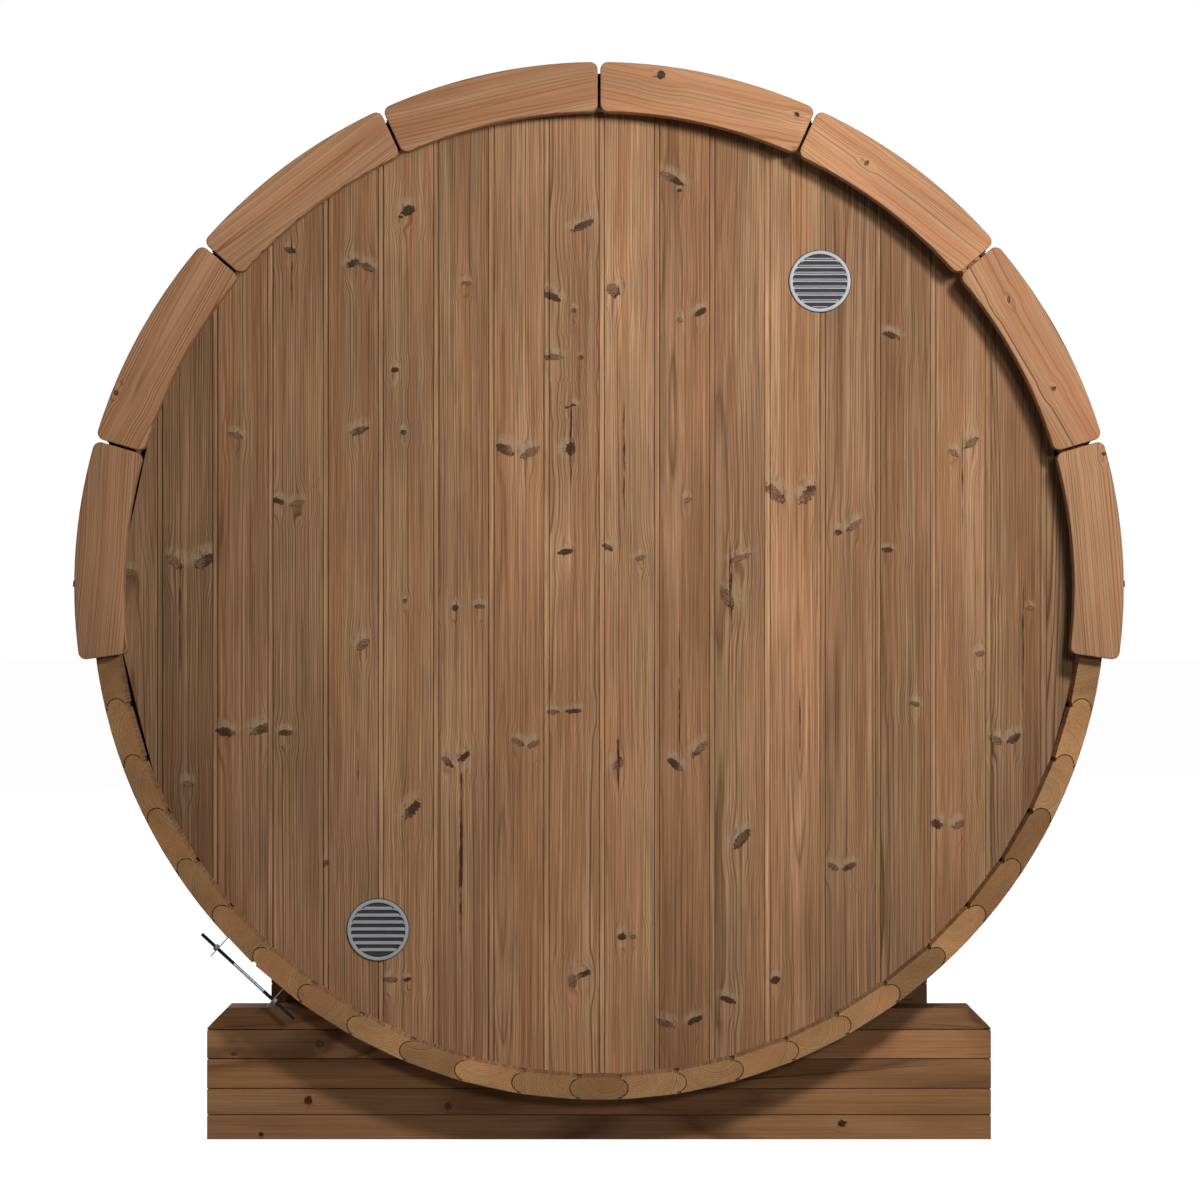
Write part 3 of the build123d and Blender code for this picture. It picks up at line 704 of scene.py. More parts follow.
# The rear wall's knots, each as x, z, half length, half width and tilt, and its shakes,
# each as x, z, half length and half width.
wall_knots = (
    (-0.380, 1.863, 0.012, 0.008, 20), (-0.395, 1.850, 0.004, 0.003, 0),
    (0.145, 1.927, 0.022, 0.006, -28), (0.160, 1.903, 0.004, 0.003, 0),
    (-0.032, 1.833, 0.020, 0.006, 25),
    (-0.615, 1.784, 0.010, 0.005, -10),
    (-0.490, 1.757, 0.012, 0.006, 30), (-0.462, 1.750, 0.014, 0.006, -25),
    (-0.265, 1.718, 0.009, 0.004, 5),
    (-0.094, 1.692, 0.017, 0.006, -25), (-0.050, 1.664, 0.005, 0.004, 0),
    (0.028, 1.704, 0.013, 0.009, -50),
    (0.161, 1.645, 0.005, 0.005, 0), (0.201, 1.660, 0.012, 0.005, 30),
    (-0.092, 1.571, 0.016, 0.005, 0), (-0.036, 1.570, 0.004, 0.004, 0),
    (-0.406, 1.545, 0.006, 0.005, 0),
    (-0.063, 1.473, 0.005, 0.004, 20), (-0.050, 1.473, 0.006, 0.004, -20),
    (-0.056, 1.389, 0.011, 0.008, 80),
    (-0.724, 1.415, 0.012, 0.005, -20),
    (-0.476, 1.425, 0.016, 0.006, 20),
    (-0.390, 1.421, 0.005, 0.004, 0),
    (-0.187, 1.386, 0.016, 0.008, -30), (-0.137, 1.380, 0.018, 0.007, 30),
    (0.018, 1.192, 0.010, 0.005, -25), (0.082, 1.171, 0.010, 0.004, 15),
    (0.177, 1.286, 0.006, 0.005, 20),
    (0.281, 1.171, 0.018, 0.005, 18), (0.255, 1.092, 0.020, 0.009, -65),
    (0.350, 1.300, 0.022, 0.009, -48), (0.416, 1.297, 0.022, 0.009, 50),
    (0.476, 1.222, 0.006, 0.005, 0), (0.509, 1.236, 0.016, 0.005, 38),
    (0.575, 1.187, 0.009, 0.004, 0),
    (0.583, 1.614, 0.014, 0.005, -18),
    (0.742, 1.400, 0.014, 0.006, 35), (0.706, 1.380, 0.010, 0.005, -35),
    (-0.846, 1.163, 0.016, 0.008, -35), (-0.784, 1.165, 0.020, 0.009, 30),
    (-0.933, 1.141, 0.008, 0.006, 0),
    (-0.639, 1.284, 0.010, 0.005, -20), (-0.601, 1.280, 0.012, 0.005, 15),
    (-0.066, 1.183, 0.013, 0.005, 10),
    (-0.287, 1.071, 0.006, 0.005, 0), (-0.237, 1.074, 0.009, 0.004, 0),
    (-0.470, 0.999, 0.013, 0.007, 35),
    (-0.386, 1.085, 0.004, 0.004, 0),
    (-0.744, 0.824, 0.016, 0.007, -12), (-0.671, 0.830, 0.020, 0.007, 22),
    (-0.625, 0.822, 0.012, 0.005, 0),
    (-0.092, 0.864, 0.010, 0.004, 0), (-0.050, 0.866, 0.014, 0.004, 5),
    (-0.302, 0.764, 0.012, 0.005, -45), (-0.268, 0.776, 0.012, 0.005, 40),
    (-0.163, 0.805, 0.011, 0.005, -30), (-0.130, 0.800, 0.012, 0.005, 30),
    (0.038, 0.760, 0.012, 0.007, 60),
    (0.151, 0.760, 0.015, 0.006, -42), (0.201, 0.790, 0.018, 0.006, 45),
    (0.285, 0.611, 0.022, 0.007, 50),
    (-0.372, 0.669, 0.020, 0.008, 50),
    (0.673, 0.640, 0.010, 0.007, -30), (0.718, 0.640, 0.012, 0.006, 30),
    (0.790, 0.808, 0.012, 0.006, -30), (0.828, 0.812, 0.013, 0.006, 30),
    (0.858, 1.071, 0.007, 0.004, 0),
    (0.466, 0.556, 0.010, 0.005, -30), (0.500, 0.556, 0.012, 0.005, 25),
    (0.046, 0.416, 0.007, 0.006, 0), (0.068, 0.416, 0.005, 0.004, 0),
    (-0.052, 0.328, 0.007, 0.011, 0), (-0.030, 0.342, 0.014, 0.005, 25),
    (-0.416, 0.331, 0.012, 0.005, -4), (-0.382, 0.331, 0.007, 0.004, 15),
    (0.131, 0.244, 0.016, 0.006, -20), (0.191, 0.250, 0.014, 0.005, 25),
    (0.255, 0.291, 0.014, 0.005, -20),
    (0.352, 0.330, 0.009, 0.006, 15),
    (-0.550, 0.560, 0.012, 0.006, 30),
    (0.760, 0.980, 0.010, 0.005, 12),
    (0.630, 0.880, 0.009, 0.004, -20),
    (-0.820, 0.720, 0.009, 0.006, 0),
)
wall_shakes = (
    (-0.612, 1.730, 0.075, 0.0018), (0.045, 1.640, 0.080, 0.0030), (-0.056, 1.400, 0.090, 0.0022),
    (-0.275, 0.590, 0.190, 0.0030), (0.038, 0.770, 0.060, 0.0022), (0.245, 1.420, 0.100, 0.0016),
    (0.262, 1.110, 0.080, 0.0030), (-0.835, 1.060, 0.120, 0.0012), (0.724, 1.330, 0.090, 0.0014),
    (0.845, 1.000, 0.110, 0.0016), (0.050, 1.370, 0.130, 0.0018), (0.160, 0.900, 0.140, 0.0013),
    (-0.480, 0.760, 0.060, 0.0011), (0.400, 0.840, 0.070, 0.0012),
)


def wall_spans(left, knots, shakes, low, high):
    """Stretches of a board, each with the knots and the shake nearest to it.

    Knots that lie within reach of each other share a stretch, at most two of them.
    """
    inside = [knot for knot in knots if left <= knot[0] < left + wall_board_width and low < knot[1] < high]
    inside.sort(key=lambda knot: knot[1])
    groups = []
    for knot in inside:
        if groups and len(groups[-1]) < 2 and knot[1] - groups[-1][0][1] < knot_reach:
            groups[-1].append(knot)
        else:
            groups.append([knot])
    cuts = [low]
    for first, second in zip(groups, groups[1:]):
        cuts.append((first[-1][1] + second[0][1]) / 2)
    cuts.append(high)
    spans = []
    for group, bottom, top in zip(groups or [[]], cuts, cuts[1:]):
        pair = [(x - left, z, long * knot_swell, wide * knot_swell, tilt) for x, z, long, wide, tilt in group]
        pair += [None] * (2 - len(pair))
        shake = None
        for x, z, reach, width in shakes:
            if left <= x < left + wall_board_width and bottom < z + reach and z - reach < top:
                shake = (x - left, z, reach, width * shake_swell, 90)
        spans.append((bottom, top, (*pair, shake)))
    return spans


def add_wall_board(boards, index, outer, out, board, knots, shakes, low_cut=None, high_cut=None, bites=()):
    """Wall board with its ends on the ring, or cut level, and bites out of its edges.

    A bite is (height, least x or None, greatest x or None), a level where an edge moves.
    """
    left = index * wall_board_width
    right = left + wall_board_width - stave_joint
    inner = outer - out * wall_thickness
    notch_floor = outer - out * wall_notch_depth
    slot_floor = outer - out * (wall_notch_depth + wall_slot_depth)
    profile = (
        (left + wall_notch_width, outer), (right, outer), (right, inner), (left, inner), (left, slot_floor),
        (left + wall_slot_width, slot_floor), (left + wall_slot_width, notch_floor),
        (left + wall_notch_width - wall_notch_slope, notch_floor),
    )

    def end_height(x, way):
        cut = low_cut if way < 0 else high_cut
        if cut is not None:
            return cut
        return barrel_axis_height + way * sqrt(max(0.0, wall_radius**2 - x**2))

    nearest = min(abs(left), abs(right))
    low = low_cut if low_cut is not None else end_height(nearest, -1)
    high = high_cut if high_cut is not None else end_height(nearest, 1)
    spans = wall_spans(left, knots, shakes, low, high)
    marks = sorted([(span[0], None, None) for span in spans[1:]] + list(bites), key=lambda b: b[0])
    least, greatest = left, right
    levels = [[(x, y, end_height(x, -1)) for x, y in profile]]
    seen = []

    def knots_at(z):
        for bottom, top, group in spans:
            if bottom <= z <= top:
                return group
        return spans[-1][2]

    bottom = low
    for height, new_least, new_greatest in marks:
        if new_least is not None:
            least = new_least
        if new_greatest is not None:
            greatest = new_greatest
        levels.append([(min(max(x, least), greatest), y, height) for x, y in profile])
        seen.append(knots_at((bottom + height) / 2))
        bottom = height
    levels.append([(min(max(x, -wall_radius), wall_radius), y, end_height(x, 1)) for x, y in profile])
    seen.append(knots_at((bottom + high) / 2))
    first = len(boards.faces)
    loft(boards, levels, lambda spot: (spot[0] - left, (spot[1] - outer) * -out, spot[2]), board, seen)
    boards.faces.ensure_lookup_table()
    for face in boards.faces[first:]:
        depths = [abs(corner.co.y - outer) for corner in face.verts]
        reaches = [corner.co.x - left for corner in face.verts]
        in_notch = max(depths) < wall_notch_depth + 1e-5 and max(reaches) < wall_notch_width + 1e-5
        # Faces inside the notch take the lighter wood, the painted highlight.
        if len(depths) == 4 and in_notch and max(depths) > 1e-5:
            face.material_index = 1


vent_boxes = {name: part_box(name) for name in ("upper_vent", "lower_vent")}
vent_hole = 0.060
dice = Random(23)
# Tone of each rear wall board: partly the wood's own tone; the outer left boards' darkness is partly painted
# shade where the light falls off to the left.
wall_tones_and_shade = {-9: 0.12, -8: -0.02, -7: 0.40, -6: 0.36, -5: 0.48, -4: 0.60, -3: 0.45, -2: 0.66, -1: 0.70,
               0: 0.88, 1: 0.50, 2: 0.42, 3: 0.86, 4: 0.28, 5: 0.12, 6: 0.49, 7: 0.19, 8: 0.08}
wall_outer = -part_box("rear_wall_left")[0].y
for word, first, last in (("left", -boards_a_side, 0), ("right", 0, boards_a_side)):
    boards = new_boards()
    for index in range(first, last):
        left = index * wall_board_width
        bites = []
        for low, high in vent_boxes.values():
            x, z = (low.x + high.x) / 2, (low.z + high.z) / 2
            for edge, way in ((left, 1), (left + wall_board_width, -1)):
                if abs(edge - x) < stave_joint:
                    inner = x + way * vent_hole * cos(radians(30))
                    for level, at in ((-vent_hole, x), (-vent_hole / 2, inner), (vent_hole / 2, inner),
                                      (vent_hole, x)):
                        clear = at - stave_joint if way < 0 else at
                        bites.append((z + level, clear if way > 0 else None, clear if way < 0 else None))
        board = (wall_tones_and_shade[index], dice.random(), dice.random())
        add_wall_board(boards, index, -wall_outer, -1, board, wall_knots, wall_shakes, bites=bites)
    wall = finished("rear_wall_" + word + "_boards", boards, wall_wood, notch_highlight_wood)
    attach(wall, "root")
    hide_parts("rear_wall_" + word)

# The front wall's boards stop round the doorway, over it, under it and beside it.
frame_low, frame_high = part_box("door_frame")
dice = Random(31)
front_knots = []
for _ in range(front_knot_count):
    size = dice.uniform(0.005, 0.010)
    spot = (dice.uniform(-0.9, 0.9), dice.uniform(0.3, 1.95))
    front_knots.append((*spot, size * dice.uniform(1, 2.2), size * 0.8, dice.uniform(-45, 45)))
front_pieces = {word: new_boards() for word in ("left", "right", "over_door", "under_door")}
for index in range(-boards_a_side, boards_a_side):
    left = index * wall_board_width
    right = left + wall_board_width
    board = own_look(dice)
    word = "left" if index < 0 else "right"
    if right <= frame_low.x or left >= frame_high.x:
        add_wall_board(front_pieces[word], index, wall_outer, 1, board, front_knots, wall_shakes)
    elif left < frame_low.x or right > frame_high.x:
        bites = []
        for height, opened in ((frame_low.z, False), (frame_low.z, True),
                               (frame_high.z, True), (frame_high.z, False)):
            if index < 0:
                bites.append((height, None, frame_low.x if opened else right - stave_joint))
            else:
                bites.append((height, frame_high.x if opened else left, None))
        add_wall_board(front_pieces[word], index, wall_outer, 1, board, front_knots, (), bites=bites)
    else:
        add_wall_board(front_pieces["over_door"], index, wall_outer, 1, board, (), (), low_cut=frame_high.z)
        add_wall_board(front_pieces["under_door"], index, wall_outer, 1, board, (), (), high_cut=frame_low.z)
for word, boards in front_pieces.items():
    bmesh.ops.dissolve_degenerate(boards, dist=1e-6, edges=boards.edges)
    wall = finished("front_wall_" + word + "_boards", boards, wall_wood, notch_highlight_wood)
    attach(wall, "root")
    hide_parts("front_wall_" + word)


# Ring boards. Four a side, sawn to the curve from straight planks, cover the stave ends
# on both fronts, with rounded corners and edges and a narrow gap between them.
trim_outer_radius = 1.030
trim_inner_radius = 0.933
trim_centre_height = 1.113
trim_reach = 98.2
trims_a_side = 4
trim_gap = 0.005
trim_corner_radius = 0.015
trim_corner_clear = 1.15
trim_corner_steps = 6
trim_arc_steps = 16
trim_mark_length = 0.35
trim_mark_width = 0.08
trim_ease = 0.003

trim_wood = timber("trim_wood", (0.325, 0.178, 0.094), (0.150, 0.060, 0.025), (0.27, 0.115, 0.052),
                   (0.06, 0.026, 0.014), ring_width=0.0052, wander=0.08, pith_depth=0.03, contrast=1.0,
                   streaks=0.35)
trim_end = timber("trim_end_grain", (0.25, 0.13, 0.062), (0.13, 0.058, 0.024), (0.22, 0.096, 0.042),
                  (0.06, 0.03, 0.02), ring_width=0.0042, contrast=0.9, streaks=0.4)


def rounded(corners, radius, steps):
    """Closed outline with its marked corners rounded. A corner is (point, is it round)."""
    outline = []
    for index, (here, is_round) in enumerate(corners):
        if not is_round:
            outline.append(tuple(here))
            continue
        here = Vector(here)
        before = (Vector(corners[index - 1][0]) - here).normalized()
        after = (Vector(corners[(index + 1) % len(corners)][0]) - here).normalized()
        half = before.angle(after) / 2
        reach = radius / (sin(half) / cos(half))
        centre = here + (before + after).normalized() * radius / sin(half)
        start = here + before * reach - centre
        finish = here + after * reach - centre
        sweep = start.angle_signed(finish)
        for step in range(steps + 1):
            turn = -sweep * step / steps
            outline.append((centre.x + start.x * cos(turn) - start.y * sin(turn),
                            centre.y + start.x * sin(turn) + start.y * cos(turn)))
    return outline


def trim_outline(low, high):
    """Outline of a ring board between two joint lines, about the ring boards' centre."""
    half_gap = trim_gap / 2
    corners = []
    for radius, order in ((trim_inner_radius, -1), (trim_outer_radius, 1)):
        ends = []
        for climb, ahead in ((low, half_gap), (high, -half_gap)):
            ends.append(rim_point(climb, sqrt(radius**2 - ahead**2), ahead))
        arc = []
        margin = degrees((trim_corner_radius * trim_corner_clear + half_gap) / radius)
        for step in range(trim_arc_steps + 1):
            climb = low + margin + (high - low - 2 * margin) * step / trim_arc_steps
            arc.append((rim_point(climb, radius), False))
        line = [(ends[0], True), *arc, (ends[1], True)]
        corners += line[::order]
    return rounded(corners, trim_corner_radius, trim_corner_steps)


# Tone of each ring board by side: the left ones are darker, partly the wood's own tone and partly painted
# shade where the light falls off to the left.
trim_tones_and_shade = {-1: (0.48, 0.56, 0.46, 0.28), 1: (0.90, 0.70, 0.53, 0.28)}
trim_knots = {
    ("rear", 1, 0): ((0.026, 0.0945, 0.0085, 0.0080, 0), (0.007, -0.183, 0.0055, 0.0040, 60), None),
    ("rear", 1, 1): ((-0.0015, 0.078, 0.0055, 0.0045, 0), None, None),
    ("rear", 1, 2): ((-0.006, 0.109, 0.007, 0.0035, 60), (-0.0126, -0.086, 0.005, 0.004, 0), None),
    ("rear", 1, 3): ((0.025, 0.19, 0.005, 0.004, 0), None, None),
    ("rear", -1, 0): (None, None, None),
    ("rear", -1, 1): (None, None, None),
    ("rear", -1, 2): ((0.032, 0.120, 0.006, 0.005, 0), None, None),
    ("rear", -1, 3): (None, None, None),
}
dice = Random(47)
for end, way in (("rear", -1), ("front", 1)):
    for word, side in (("left", -1), ("right", 1)):
        low_box, high_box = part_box(end + "_trims_" + word)
        boards = new_boards()
        for index in range(trims_a_side):
            high = side * (180 - index * trim_reach / trims_a_side)
            low = side * (180 - (index + 1) * trim_reach / trims_a_side)
            low, high = min(low, high), max(low, high)
            turn = radians((low + high) / 2)
            tangent = (cos(turn), sin(turn))
            outward = (sin(turn), -cos(turn))
            middle = (trim_inner_radius + trim_outer_radius) / 2

            def to_place(spot, tangent=tangent, outward=outward, way=way, middle=middle):
                x, z = spot[0], spot[2] - trim_centre_height
                return (
                    x * outward[0] + z * outward[1] - middle,
                    (spot[1] - way * stave_length / 2) * -way,
                    x * tangent[0] + z * tangent[1],
                )

            knots = trim_knots.get((end, side, index))
            if knots is None:
                knots = board_marks(dice, trim_mark_length, trim_mark_width)
            board = (trim_tones_and_shade[side][index], dice.random(), dice.random())
            sawn_slab(
                boards, trim_outline(low, high), low_box.y, high_box.y, trim_ease,
                lambda point, y: (point[0], y, point[1] + trim_centre_height),
                to_place, board, knots, ends=(tangent[0], 0, tangent[1]),
            )
        trims = finished(end + "_ring_boards_" + word, boards, trim_wood, trim_end)
        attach(trims, "root")
        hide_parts(end + "_trims_" + word)


# Bands. A flat zinc-plated band runs round the staves near each end and turns out into
# two ears at the lower left. A threaded rod through them, with a hex nut outside each ear,
# draws the band tight.
band_thickness = 0.002
band_clearance = 0.0003
band_steps = 144
ear_corner_radius = 0.006
tensioner_climb = -42.8
ear_half = 0.0755
ear_reach = 0.050
ear_root = 0.003
rod_line = 1.030
rod_radius = 0.004
rod_half = 0.125
rod_shift = 0.007
thread_pitch = 0.00125
thread_depth = 0.0007
thread_sides = 12
tip_taper = 0.0015
shank_span = (-0.0315, 0.048)
nut_half_flats = 0.0065
nut_height = 0.0065
nut_chamfer = 0.0009
nut_section = ((0, 0.94), (nut_chamfer, 1), (nut_height - nut_chamfer, 1), (nut_height, 0.9))
nut_steps = 24


def plain_material(name, roughness, metallic=0.0):
    """New material with its node tree and its surface shader."""
    material = bpy.data.materials.new(name)
    material.use_nodes = True
    tree = material.node_tree
    surface = tree.nodes["Principled BSDF"]
    surface.inputs["Roughness"].default_value = roughness
    surface.inputs["Metallic"].default_value = metallic
    return material, tree, surface


def object_noise(tree, scale, detail=3.0, stretch=(1, 1, 1)):
    """Noise over the object's own space, drawn out by a stretch."""
    spot = put(tree, "TexCoord").outputs["Object"]
    spot = put(tree, "VectorMath", (spot, stretch), operation="MULTIPLY").outputs[0]
    return put(tree, "TexNoise", {"Vector": spot, "Scale": scale, "Detail": detail}).outputs[0]


# Plated steel for bands, nuts and hinges: its dark base colour is a painted dark reflection, with darker
# patches over it at random.
plated_steel_dark_reflection, tree, surface = plain_material("zinc_plated_steel_dark_reflection", 0.45, 0.4)
cloudy = object_noise(tree, 60)
grimy = ramp(tree, object_noise(tree, 11), (0.35, 0.0), (0.7, 1.0))
color = blend(tree, cloudy, (0.12, 0.123, 0.13, 1), (0.07, 0.072, 0.077, 1))
tree.links.new(blend(tree, reckon(tree, "MULTIPLY", grimy, 0.4), color, (0.045, 0.043, 0.040, 1)),
               surface.inputs["Base Color"])
tree.links.new(reckon(tree, "MULTIPLY_ADD", cloudy, 0.2, 0.42), surface.inputs["Roughness"])
emboss(tree, surface, object_noise(tree, 700, 2.0, (1, 0.1, 1)), 0.4, 0.0002)

# Near-black threaded steel: its dark colour is a painted dark reflection, standing in for dark surroundings
# mirrored in the rod.
thread_steel_dark_reflection, tree, surface = plain_material("dark_reflection_thread_steel", 0.4, 0.8)
tree.links.new(blend(tree, object_noise(tree, 90), (0.024, 0.025, 0.027, 1), (0.055, 0.057, 0.060, 1)),
               surface.inputs["Base Color"])
# Plain middle of the rod: an unthreaded shank, its lighter steel colour a painted highlight along the rod.
shank_highlight_steel, tree, surface = plain_material("drawn_steel_painted_highlight", 0.4, 1.0)
tree.links.new(blend(tree, object_noise(tree, 70), (0.17, 0.175, 0.18, 1), (0.09, 0.093, 0.097, 1)),
               surface.inputs["Base Color"])

tension_turn = radians(tensioner_climb)
rod_way = Vector((cos(tension_turn), 0, sin(tension_turn)))
rod_out = Vector((sin(tension_turn), 0, -cos(tension_turn)))
for end, way in (("rear", -1), ("front", 1)):
    low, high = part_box(end + "_band")
    middle = (low.y + high.y) / 2
    half_width = (high.y - low.y) / 2
    inner = barrel_radius + band_clearance
    outer = inner + band_thickness
    first = degrees(asin(ear_half / outer))
    section = ((inner, -half_width), (outer, -half_width), (outer, half_width), (inner, half_width))
    hoop = []
    for step in range(band_steps + 1):
        climb = tensioner_climb + first + (360 - 2 * first) * step / band_steps
        corners = [(*rim_point(climb, radius), middle + y) for radius, y in section]
        hoop.append([(x, y, z + barrel_axis_height) for x, z, y in corners])
    strip = bmesh.new()
    skin(strip, hoop)
    ear_tip = barrel_radius + ear_reach
    for side in (-1, 1):
        corners = (
            ((-half_width, sqrt(outer**2 - ear_half**2) - ear_root), False),
            ((half_width, sqrt(outer**2 - ear_half**2) - ear_root), False),
            ((half_width, ear_tip), True),
            ((-half_width, ear_tip), True),
        )
        plate = rounded(corners, ear_corner_radius, 6)
        layers = []
        for offset in (ear_half, ear_half - band_thickness):
            foot = rod_way * side * offset + Vector((0, middle, barrel_axis_height))
            layers.append([foot + rod_out * reach + Vector((0, y, 0)) for y, reach in plate])
        skin(strip, layers)
    band = finished(end + "_hoop", strip, plated_steel_dark_reflection)
    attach(band, "root")
    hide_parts(end + "_band")

    axis = rod_out * rod_line + Vector((0, middle, barrel_axis_height))
    side_way = Vector((0, 1, 0))
    thread = bmesh.new()
    turns = int(2 * rod_half / thread_pitch)
    rings = []
    plains = []
    for step in range(2 * turns + 1):
        along = rod_shift - rod_half + rod_half * step / turns
        plain = shank_span[0] < along < shank_span[1]
        radius = rod_radius if step % 2 and not plain else rod_radius - thread_depth
        if step in (0, 2 * turns):
            radius = rod_radius - tip_taper
        ring = []
        for index in range(thread_sides):
            turn = 2 * pi * index / thread_sides
            lead = thread_pitch * index / thread_sides if 0 < step < 2 * turns - 2 else 0
            ring.append(axis + rod_way * (along + lead) + side_way * radius * cos(turn)
                        + rod_out * radius * sin(turn))
        rings.append(ring)
        plains.append(plain)
    for span, plain in zip(skin(thread, rings, smooth=True), plains):
        for face in span:
            face.material_index = int(plain)
    rod = finished(end + "_threaded_rod", thread, thread_steel_dark_reflection, shank_highlight_steel)
    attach(rod, "root")
    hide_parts(end + "_tension_rod")

    nuts = bmesh.new()
    for side in (-1, 1):
        seat = axis + rod_way * side * ear_half
        rings = []
        for along, shrink in nut_section:
            ring = []
            for index in range(nut_steps):
                turn = 2 * pi * index / nut_steps
                flat = nut_half_flats / cos((turn + pi / 6) % (pi / 3) - pi / 6)
                radius = min(flat, nut_half_flats / cos(pi / 6) * shrink)
                ring.append(seat + rod_way * side * along + side_way * radius * sin(turn)
                            + rod_out * radius * cos(turn))
            rings.append(ring)
        skin(nuts, rings)
    nut_pair = finished(end + "_hex_nuts", nuts, plated_steel_dark_reflection)
    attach(nut_pair, "root")
    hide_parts(end + "_tension_nuts")


# Roof. Bitumen shingles with a mineral grain are nailed over felt in lapping courses, each
# sheet cut into tabs, and the lowest course turns out over a wooden drip batten. Short caps
# lap along the ridge.
roof_radius = 1.011
course_count = 11
course_butt = 0.003
tab_width = 0.333
tab_slot = 0.008
roof_steps = 60
roof_lift = trim_centre_height - barrel_axis_height
batten_rise = 0.026
batten_height = 0.048
cover_facets = 48
kick_climb = 90 + degrees(asin(batten_rise / roof_radius))
cover_inner = (barrel_radius + band_clearance + band_thickness) / cos(pi / cover_facets) + band_clearance
roof_half = 0.9
drip_reach = 1.038
drip_thickness = 0.004
drip_nose = 0.012
tab_steps = 4
cap_half_width = 0.110
cap_exposure = 0.150
cap_steps = 16
cap_build = 0.0030
cap_thickness = 0.0018
cap_lap = 0.0012
cap_least = 0.010

roof_shingle, tree, surface = plain_material("mineral_shingle", 0.95)
grit = put(tree, "TexVoronoi", {"Vector": put(tree, "TexCoord").outputs["Object"], "Scale": 520.0})
fleck = put(tree, "SeparateColor", (grit.outputs["Color"],)).outputs[0]
patchy = ramp(tree, object_noise(tree, 5, 4.0), (0.35, 0.0), (0.68, 1.0))
pale_flecks = ramp(tree, fleck, (0.55, 0.0), (0.98, 1.0))
color = blend(tree, pale_flecks, (0.016, 0.016, 0.018, 1), (0.085, 0.085, 0.09, 1))
color = blend(tree, reckon(tree, "MULTIPLY", patchy, 0.45), color, (0.034, 0.032, 0.031, 1))
tree.links.new(color, surface.inputs["Base Color"])
surface.inputs["Specular IOR Level"].default_value = 0.3
emboss(tree, surface, grit.outputs["Distance"], 0.8, 0.0008)


def roof_point(climb, radius, y):
    """Point of the roof on a circle about the ring boards' centre."""
    x, z = rim_point(climb, radius)
    return (x, y, z + trim_centre_height)


def curved_sheet(mesh, climbs, low_y, high_y, heights, underside):
    """Sheet bent over the roof. heights are its radius at each climb, over an underside."""
    rings = []
    for climb, height in zip(climbs, heights):
        ring = [
            roof_point(climb, underside, low_y), roof_point(climb, height, low_y),
            roof_point(climb, height, high_y), roof_point(climb, underside, high_y),
        ]
        rings.append(ring)
    skin(mesh, rings, smooth=True)


felt_gap = 0.0008
tab_sink = 0.0004
tab_foot = 0.0002
course_step = 90 / course_count
under_radius = roof_radius - course_butt - felt_gap
foot_z = roof_lift + batten_rise - drip_thickness
for word, side in (("left", -1), ("right", 1)):
    roof = bmesh.new()
    kick = rim_point(side * kick_climb, roof_radius)
    profile = [
        (side * sqrt(cover_inner**2 - foot_z**2), foot_z), (side * (drip_reach - drip_thickness), roof_lift),
        (side * drip_reach, roof_lift), (side * (drip_reach - felt_gap), roof_lift + drip_nose),
        (kick[0], kick[1] + roof_lift),
    ]
    for step in range(1, roof_steps + 1):
        climb = kick_climb + (180 - kick_climb) * step / roof_steps
        x, z = rim_point(side * climb, under_radius)
        profile.append((x, z + roof_lift))
    least = degrees(acos(-foot_z / cover_inner))
    for step in range(roof_steps):
        climb = 180 - (180 - least) * step / roof_steps
        profile.append(rim_point(side * climb, cover_inner))
    ends = [[(x, y, z + barrel_axis_height) for x, z in profile] for y in (-roof_half, roof_half)]
    skin(roof, ends, smooth=True)
    for course in range(course_count):
        low_climb = max(kick_climb, 90 + course * course_step)
        high_climb = 90 + (course + 1) * course_step
        shares = [step / tab_steps for step in range(tab_steps + 1)]
        climbs = [side * (low_climb + (high_climb - low_climb) * share) for share in shares]
        heights = [roof_radius - (course_butt + felt_gap - tab_foot) * share for share in shares]
        y = -roof_half - tab_width * (0.5 if course % 2 else 0.0)
        while y < roof_half:
            start = -roof_half if y <= -roof_half else y + tab_slot / 2
            finish = roof_half if y + tab_width >= roof_half else y + tab_width - tab_slot / 2
            if finish - start > tab_slot:
                curved_sheet(roof, climbs, start, finish, heights, under_radius - tab_sink)
            y += tab_width
    shingles = finished("shingle_courses_" + word, roof, roof_shingle)
    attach(shingles, "root")
    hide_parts("roof_" + word)

caps = bmesh.new()
cap_top_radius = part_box("ridge_cap")[1].z - trim_centre_height
cap_climb = degrees(asin(cap_half_width / roof_radius))
cap_seat = cap_top_radius - cap_build
cap_climbs = [180 - cap_climb + 2 * cap_climb * step / cap_steps for step in range(cap_steps + 1)]
y = -roof_half
while y < roof_half - cap_least:
    finish = min(y + cap_exposure, roof_half)
    rings = []
    for at, lift in ((y, 0.0), (finish, cap_lap)):
        ring = [roof_point(climb, cap_seat + cap_thickness + lift, at) for climb in cap_climbs]
        ring += [roof_point(climb, cap_seat, at) for climb in cap_climbs[::-1]]
        rings.append(ring)
    skin(caps, rings)
    y = finish
ridge = finished("lapped_ridge_caps", caps, roof_shingle)
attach(ridge, "root")
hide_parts("ridge_cap")


def upright(point, height):
    """Corner of a level outline, at a height."""
    return (point[0], point[1], height)


def standing(middle, face):
    """Reads a board's grain up along Z, about a place along X and from a face."""
    return lambda spot: (spot[0] - middle, spot[1] - face, spot[2])


def along_barrel(middle, height):
    """Reads a board's grain along Y, about a place along X and from a height."""
    return lambda spot: (spot[0] - middle, spot[2] - height, spot[1])


batten_reach = 1.032
batten_edge = 0.0025
bar_edge_steps = 3


